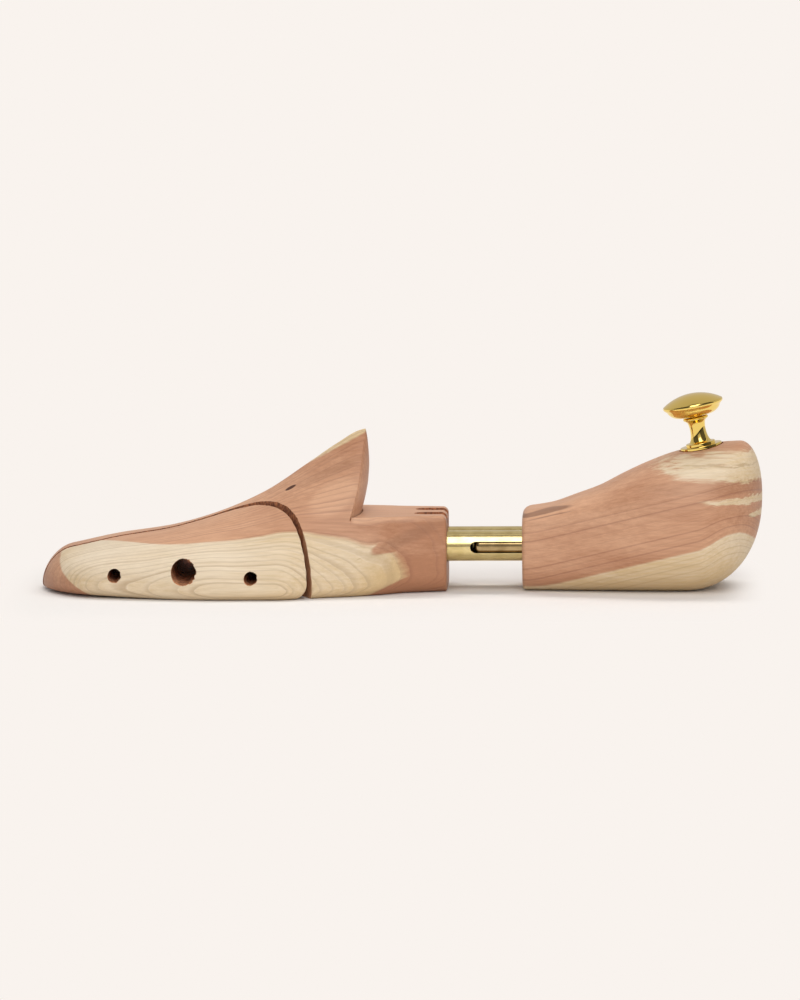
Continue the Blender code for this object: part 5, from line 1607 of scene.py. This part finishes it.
@dataclass(frozen=True)
class Knob:
    """The turned knob: a domed head on a waisted stem, with a step and a flange."""

    flange_radius: float = 0.0083
    flange_height: float = 0.0012
    step_radius: float = 0.0058
    step_height: float = 0.0023
    foot_radius: float = 0.0049
    stem_radius: float = 0.0031
    stem_height: float = 0.0074
    bead_radius: float = 0.0050
    bead_height: float = 0.0119
    bead_thickness: float = 0.0011
    rim_radius: float = 0.01195
    rim_height: float = 0.0176
    height: float = 0.0219
    rim_rounding: float = 0.0010
    edge: float = 0.0003
    hole_radius: float = 0.0028
    hole_height: float = 0.0083
    brim_share: float = 0.62
    brim_rise_share: float = 0.78
    lip_turn: float = 0.5
    cup_turn: float = 0.22
    steps: int = 128

    def profile(self) -> np.ndarray:
        """Return the outline from the dome's top down to the flange and up the screw's hole.

        The dome is a ball's cap, radius = (rim ** 2 + rise ** 2) / (2 * rise). The rim, the cup
        below it, the bead and the two halves of the waist are arcs of ellipses; the flange's
        edges are small quarter circles.

        Returns:
            Rows of radius and height.
        """
        quarter = math.pi / 2
        rim = self.rim_rounding
        inner_rim = self.rim_radius - rim
        brim = inner_rim + rim * self.brim_share
        rise = self.height - self.rim_height - rim * self.brim_rise_share
        ball = (brim**2 + rise**2) / (2 * rise)
        slope = math.asin(brim / ball)
        dome = arc((0, self.height - ball), (ball, ball), quarter, quarter - slope, 40)
        lip = arc((inner_rim, self.rim_height), (rim, rim), quarter - slope, -quarter * self.lip_turn, 16)[1:]
        cup_x = self.bead_radius + self.bead_thickness
        cup_depth = self.rim_height - self.bead_height - self.bead_thickness
        cup = arc((cup_x, self.rim_height), (inner_rim - cup_x, cup_depth), -quarter * self.cup_turn, -quarter, 22)
        half_bead = self.bead_thickness / 2
        bead = arc((self.bead_radius - half_bead, self.bead_height), (half_bead, half_bead), quarter, -quarter, 12)
        stem_top = self.bead_height - self.bead_thickness
        neck = self.bead_radius - self.bead_thickness
        upper = arc((neck, self.stem_height), (neck - self.stem_radius, stem_top - self.stem_height),
                    quarter, math.pi, 18)
        lower = arc((self.foot_radius, self.stem_height),
                    (self.foot_radius - self.stem_radius, self.stem_height - self.step_height),
                    math.pi, quarter * 3, 20)[1:]
        edge = self.edge
        step = arc((self.step_radius - edge, self.step_height - edge), (edge, edge), quarter, 0, 5)
        flange = arc((self.flange_radius - edge, self.flange_height - edge), (edge, edge), quarter, 0, 5)
        base = [(self.step_radius, self.flange_height)]
        foot = [(self.flange_radius, edge / 2), (self.flange_radius - edge / 2, 0), (self.hole_radius, 0),
                (self.hole_radius, self.hole_height), (0, self.hole_height)]
        return np.concatenate([dome, lip, cup, bead, upper, lower, step, base, flange, foot])

    def build(self, finishes: Finishes, seat: KnobSeat, heel: HeelBlock) -> Pieces:
        """Make the knob on its seat.

        Args:
            finishes: The metal materials by name.
            seat: Where its axis stands.
            heel: The block that carries it.

        Returns:
            The piece by the node that it replaces.
        """
        made = turned("knob_polished", self.profile(), seat.place(heel, FIT_GAP), seat.axis, self.steps)
        made.data.materials.append(finishes["polished brass"])
        return {"knob": made}


@dataclass(frozen=True)
class Spring:
    """A compression spring wound where its node is, with the name of its joint."""

    node: str
    joint: str
    along: Axis
    centre: Point
    coil_radius: float
    wire_radius: float
    turns: int
    fixed_end: End
    end_pitch_share: float = 0.9
    steps: int = 20
    wire_sides: int = 10

    def ends(self) -> tuple[float, float]:
        """Return where the spring starts and ends along its axis."""
        low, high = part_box(self.node)
        return low[self.along.value], high[self.along.value]

    def build(self, finish: Finish) -> Piece:
        """Wind the wire.

        Its centre is (rise, R cos a, R sin a), where rise grows by the end pitch in the first
        and the last turn and evenly between. Its section is a circle square to the wire:
        centre + r (cos b * outwards + sin b * along * outwards).

        Args:
            finish: The wire's material.

        Returns:
            The spring.
        """
        start, end = self.ends()
        run = end - start - 2 * self.wire_radius
        turn = np.linspace(0, self.turns, self.turns * self.steps + 1)
        inside = np.clip(turn, 1, self.turns - 1) - 1
        end_pitch = run / self.turns * self.end_pitch_share
        pitch = (run - 2 * end_pitch) / (self.turns - 2)
        rise = start + self.wire_radius + end_pitch * (turn - inside) + pitch * inside
        angle = 2 * math.pi * turn
        zero = np.zeros_like(angle)
        outwards = np.stack([zero, np.cos(angle), np.sin(angle)], axis=1)
        tangent = np.stack([np.gradient(rise, angle), -self.coil_radius * np.sin(angle),
                            self.coil_radius * np.cos(angle)], axis=1)
        tangent /= np.linalg.norm(tangent, axis=1, keepdims=True)
        beside = np.cross(tangent, outwards)
        line = self.coil_radius * outwards
        line[:, 0] = rise
        around = np.linspace(0, 2 * math.pi, self.wire_sides, endpoint=False)[None, :, None]
        rings = line[:, None] + self.wire_radius * (np.cos(around) * outwards[:, None]
                                                    + np.sin(around) * beside[:, None])
        if self.along is Axis.Y:
            rings = rings[:, :, [1, 0, 2]]
        across = [axis for axis in range(3) if axis != self.along.value]
        rings[:, :, across] += np.array(self.centre)[across]
        made = ring_surface(self.node + "_wound", rings)
        made.data.materials.append(finish)
        return made

    def fasten(self, piece: Piece, travel: float) -> None:
        """Give the finished spring a mesh of its own.

        Args:
            piece: The spring.
            travel: How far its other end would move; not used.
        """
        ends = self.ends()
        axis, anchor = [0.0, 0.0, 0.0], list(self.centre)
        axis[self.along.value], anchor[self.along.value] = 1.0, ends[self.fixed_end.value]
        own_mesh(piece)


# Studio
@dataclass(frozen=True)
class Softbox:
    """A soft area light that faces the tree: pitch and heading in degrees, power in watts."""

    name: str
    pitch: float
    distance: float
    size: tuple[float, float]
    power: float
    heading: float = 0.0
    mirrored: bool = True
    colour: Colour = (1.0, 0.985, 0.96)
    aim: Point = (0.0, 0.0, 0.02)

    def hang(self) -> None:
        """Hang it in front, turned by its heading towards the heel and raised by its pitch."""
        data = bpy.data.lights.new(self.name, "AREA")
        data.shape, (data.size, data.size_y) = "RECTANGLE", self.size
        data.energy, data.color = self.power, self.colour
        made = add_object(self.name, data)
        tilt, turn = math.radians(self.pitch), math.radians(self.heading)
        direction = Vector((math.sin(turn) * math.cos(tilt), -math.cos(turn) * math.cos(tilt), math.sin(tilt)))
        made.location = direction * self.distance + Vector(self.aim)
        made.rotation_euler = direction.to_track_quat("Z", "Y").to_euler()
        made.visible_glossy = self.mirrored


@dataclass(frozen=True)
class Studio:
    """The pale floor, the backdrop, the soft lights and the camera."""

    LIGHTS = (
        Softbox("key softbox", 52.0, 1.1, (0.5, 1.05), 4.2, heading=4.0),
        Softbox("front softbox", 18.0, 1.2, (1.2, 0.5), 4.0, mirrored=False),
        Softbox("side softbox", 24.0, 1.1, (0.5, 0.5), 1.3, heading=52.0, mirrored=False),
        Softbox("rear strip", 113.0, 1.1, (1.5, 0.24), 8.0, mirrored=False),
    )

    backdrop: Colour = (0.947, 0.896, 0.855)
    ambient_colour: Colour = (0.850, 0.890, 0.950)
    floor_colour: Colour = (0.790, 0.750, 0.715)
    ambient: float = 0.42
    mirror_levels: tuple[tuple[float, float], ...] = (
        (0.0, 0.06), (0.028, 0.06), (0.045, 0.45), (0.12, 0.9), (0.40, 0.9), (0.42, 0.06), (0.495, 0.06),
        (0.505, 0.77), (0.575, 0.77), (0.585, 0.18), (0.602, 0.18), (0.612, 0.56), (1.0, 0.66))
    azimuth: float = math.radians(2.3)
    elevation: float = math.radians(7.0)
    roll: float = math.radians(-0.45)
    distance: float = 3.0
    scale: float = 0.000395
    rows: int = 1000
    sensor_width: float = 36.0
    target: Point = (-0.0004, 0.0, 0.0349)
    side_share: float = 0.05
    side_from: tuple[float, float] = (0.28, 0.36)
    side_until: tuple[float, float] = (0.47, 0.49)
    side_strength: float = 0.93
    floor_reach: float = 12.0
    heel_slope: tuple[float, float] = (2.9, -345.0)
    toe_slope: tuple[float, float] = (-2.6, -340.0)
    kept_half_depth: float = 32.0
    turn_reach: tuple[float, float] = (12.0, 75.0)

    def camera(self) -> None:
        """Place the camera so that a pixel at the tree's middle is as wide as the scale says."""
        data = bpy.data.cameras.new("camera")
        made = add_object("camera", data)
        direction = Vector((math.sin(self.azimuth) * math.cos(self.elevation),
                            -math.cos(self.azimuth) * math.cos(self.elevation), math.sin(self.elevation)))
        made.location = Vector(self.target) + direction * self.distance
        turn = direction.to_track_quat("Z", "Y") @ Quaternion((0, 0, 1), self.roll)
        made.rotation_euler = turn.to_euler()
        data.sensor_width = self.sensor_width
        data.lens = self.sensor_width * self.distance / (self.scale * self.rows)
        data.clip_end = 50.0
        bpy.context.scene.camera = made

    def _show_backdrop(self, graph: Graph) -> Socket:
        """Return 1 for rays from the camera, a mirror or a clear piece, and 0 for the rest.

        Args:
            graph: Graph to add it to.

        Returns:
            The mask.
        """
        path = graph.node("ShaderNodeLightPath").outputs
        return graph.math("MINIMUM", graph.total(path["Is Camera Ray"], path["Is Glossy Ray"],
                                                 path["Is Transmission Ray"]), 1.0)

    def world(self) -> None:
        """Set the world: soft light for the object, and the backdrop's own colour for what sees it.

        Mirrors see it through levels that follow the pitch from the front horizon over the
        zenith to the rear horizon: bright below the softbox, dark at its sides, half as bright
        above and behind it, with a darker line between. In front, where |x| of a direction of
        unit length passes side_from, they see a dark side, up to the pitches of side_until.
        """
        made = bpy.data.worlds.new("studio")
        made.use_nodes = True
        bpy.context.scene.world = made
        graph = Graph(made.node_tree)
        background = made.node_tree.nodes["Background"]
        path = graph.node("ShaderNodeLightPath").outputs
        direction = graph.node("ShaderNodeTexCoord").outputs["Generated"]
        x, y, z = graph.parts(direction)
        pitch = graph.scaled(graph.math("ARCTAN2", z, graph.scaled(y, -1.0)), 1 / math.pi)
        aside = graph.math("MULTIPLY", graph.ramp(graph.math("ABSOLUTE", x), *self.side_from),
                           graph.ramp(pitch, *self.side_until, self.side_strength, 0.0))
        levels = graph.node("ShaderNodeValToRGB", {0: pitch})
        stops = levels.color_ramp.elements
        while len(stops) < len(self.mirror_levels):
            stops.new(1.0)
        for stop, (place, level) in zip(stops, self.mirror_levels):
            stop.position, stop.color = place, (level, level, level, 1.0)
        colour = graph.mix(self._show_backdrop(graph), self.ambient_colour, self.backdrop)
        colour = graph.mix(path["Is Glossy Ray"], colour, levels.outputs[0], "MULTIPLY")
        dark = tuple(channel * self.side_share for channel in self.backdrop)
        colour = graph.mix(graph.math("MULTIPLY", aside, path["Is Glossy Ray"]), colour, dark)
        graph.fill(background, {"Color": colour, "Strength": graph.scaled(self._show_backdrop(graph),
                                                                          1 - self.ambient, self.ambient)})

    def floor(self) -> Piece:
        """Make the floor, which takes shadows near the tree and turns into the backdrop further out.

        In millimetres, it turns over turn_reach of the hypotenuse of two distances: the larger of
        heel_slope and toe_slope, each a factor of x and an offset, and |y| past kept_half_depth.

        Returns:
            The floor.
        """
        reach = self.floor_reach
        mesh = bpy.data.meshes.new("floor")
        mesh.from_pydata([(-reach, -reach, 0), (reach, -reach, 0), (reach, reach, 0), (-reach, reach, 0)], [],
                         [[0, 1, 2, 3]])
        made = add_object("floor", mesh)
        material, graph, shader = new_material("pale floor")
        x, y, _ = graph.parts(graph.point())
        beside = graph.math("MAXIMUM", graph.math("MAXIMUM", graph.scaled(x, *self.heel_slope),
                                                  graph.scaled(x, *self.toe_slope)), 0.0)
        ahead = graph.math("MAXIMUM", graph.scaled(graph.math("ABSOLUTE", y), 1.0, -self.kept_half_depth), 0.0)
        away = graph.math("SQRT", graph.math("ADD", graph.math("MULTIPLY", beside, beside),
                                             graph.math("MULTIPLY", ahead, ahead)))
        far = graph.ramp(away, *self.turn_reach)
        graph.fill(shader, {"Base Color": self.floor_colour, "Roughness": 1.0, "Specular IOR Level": 0.0})
        glow = graph.node("ShaderNodeEmission", {"Color": self.backdrop})
        blend = graph.node("ShaderNodeMixShader", {0: graph.math("MULTIPLY", far, self._show_backdrop(graph)),
                                                   1: shader.outputs[0], 2: glow.outputs[0]})
        graph.feed(material.node_tree.nodes["Material Output"].inputs[0], blend.outputs[0])
        mesh.materials.append(material)
        return made

    def build(self) -> None:
        """Set the stage and the view transform."""
        self.floor()
        self.world()
        for softbox in self.LIGHTS:
            softbox.hang()
        self.camera()
        bpy.context.scene.view_settings.view_transform = "Standard"


# The whole tree
class ShoeTree:
    """The whole tree: builds the pieces, puts them on their bodies and dresses the fittings."""

    BODIES = {
        "forepart_body": ("forepart", "body_cedar"),
        "toe_wing": ("wing", "wing_cedar"),
        "heel_block": ("heel", "heel_cedar"),
        "outer_tube_lateral": ("forepart", "outer_tube_brass"),
        "outer_tube_medial": ("forepart", "outer_tube_brass"),
        "inner_tube_lateral": ("heel", "inner_tube_brass"),
        "inner_tube_medial": ("heel", "inner_tube_brass"),
        "knob": ("heel", "knob_brass"),
        "tube_spring_lateral": ("forepart", "spring_steel"),
        "tube_spring_medial": ("forepart", "spring_steel"),
        "wing_spring_front": ("forepart", "spring_steel"),
        "wing_spring_rear": ("forepart", "spring_steel"),
    }
    FITTINGS = {
        "spring_plug": "bright steel",
        "stop_pin": "bright steel",
        "guide_pin": "bright steel",
        "guide_bush": "bush brass",
        "forepart_brad": "bright steel",
        "heel_brad": "bright steel",
        "knob_screw": "bright steel",
    }

    TUBE_SPRING_WIRE_RADIUS = 0.0005
    TUBE_SPRING_TURNS = 16
    WING_SPRING_WIRE_RADIUS = 0.00035
    WING_SPRING_COIL_RADIUS = 0.0026
    WING_SPRING_TURNS = 4

    def __init__(self, frame: dict) -> None:
        """Keep the frame and make the finishes.

        Args:
            frame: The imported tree.
        """
        self.frame = frame
        timber, work = Timber(), MetalWork()
        cedar = {
            "body": CedarFinish("body cedar", Block.FOREPART),
            "wing": CedarFinish("wing cedar", Block.FOREPART),
            "heel": CedarFinish("heel cedar", Block.HEEL, spacing=1.7, contrast=0.16),
            "sawn": CedarFinish("sawn cedar", Block.FOREPART, Surface.SAWN),
            "bored": CedarFinish("bored cedar", Block.FOREPART, Surface.BORED),
            "heel_bored": CedarFinish("bored heel cedar", Block.HEEL, Surface.BORED, spacing=1.7),
        }
        metal = (
            MetalFinish("drawn brass", (0.86, 0.71, 0.35), (0.68, 0.53, 0.22), 0.20),
            # The inner brass is darker than the drawn brass: its own browner colour plus painted shade from inside the
            # outer tube.
            MetalFinish("inner brass with painted shade", (0.52, 0.38, 0.19), (0.28, 0.19, 0.08), 0.13),
            MetalFinish("polished brass", (0.92, 0.68, 0.19), (0.85, 0.58, 0.12), 0.04, 0.2, 0.0),
            MetalFinish("cut brass", (0.20, 0.14, 0.07), (0.12, 0.08, 0.035), 0.5),
            MetalFinish("spring wire", (0.50, 0.50, 0.52), (0.36, 0.36, 0.38), 0.3),
            MetalFinish("bright steel", (0.58, 0.58, 0.60), (0.42, 0.42, 0.44), 0.32),
            MetalFinish("bush brass", (0.72, 0.56, 0.26), (0.55, 0.40, 0.16), 0.3),
        )
        self.finishes = {key: finish.material(timber) for key, finish in cedar.items()}
        self.finishes |= {finish.name: finish.material(work) for finish in metal}

    def springs(self, forepart: Forepart) -> list[Spring]:
        """Return the springs in the two tubes and round the two guide pins.

        Args:
            forepart: The forepart, which says where the guides are.

        Returns:
            The springs.
        """
        wire = self.TUBE_SPRING_WIRE_RADIUS
        coil = LAYOUT.tube_radius - LAYOUT.tube_wall - FIT_GAP - wire
        tubes = [Spring("tube_spring_" + side.name.lower(), "heel_slide", Axis.X,
                        (0, side.value * LAYOUT.tube_offset, LAYOUT.tube_height), coil, wire,
                        self.TUBE_SPRING_TURNS, End.LOW) for side in Side]
        wings = [Spring("wing_spring_" + end, "wing_slide", Axis.Y, (LAYOUT.toe_x + place, 0, forepart.guide_height),
                        self.WING_SPRING_COIL_RADIUS, self.WING_SPRING_WIRE_RADIUS, self.WING_SPRING_TURNS, End.HIGH)
                 for end, place in zip(("front", "rear"), forepart.guides)]
        return tubes + wings

    def build(self) -> None:
        """Build every new piece and put it on its body."""
        forepart, heel, seat = Forepart(), HeelBlock(), KnobSeat()
        made = forepart.build(self.finishes)
        made |= heel.build(self.finishes, seat)
        for side in Side:
            made |= TubeSet(side).build(self.finishes)
        made |= Knob().build(self.finishes, seat, heel)
        springs = self.springs(forepart)
        made |= {spring.node: spring.build(self.finishes["spring wire"]) for spring in springs}
        for node, piece in made.items():
            body, slot = self.BODIES[node]
            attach(piece, body)
            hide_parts(node)
            log.info("%s: %d faces, rides on %s", piece.name, len(piece.data.polygons), body)
        joints = self.frame["record"]["behaviour"]["joints"]
        travels = {joint["name"]: max(abs(limit) for limit in joint["range_m"]) for joint in joints}
        for spring in springs:
            spring.fasten(made[spring.node], travels[spring.joint])

    def dress(self) -> None:
        """Give the fittings that keep their solids a finish of their own."""
        for name, node in self.frame["nodes"].items():
            for start, finish in self.FITTINGS.items():
                if name.startswith(start):
                    for place in node.material_slots:
                        place.material = self.finishes[finish]
                    log.info("%s: %s", name, finish)


def main() -> None:
    """Build the shoe tree in its studio."""
    logging.basicConfig(level=logging.INFO, format="%(name)s: %(message)s")
    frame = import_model()
    tree = ShoeTree(frame)
    tree.build()
    tree.dress()
    Studio().build()


if __name__ == "__main__":
    main()
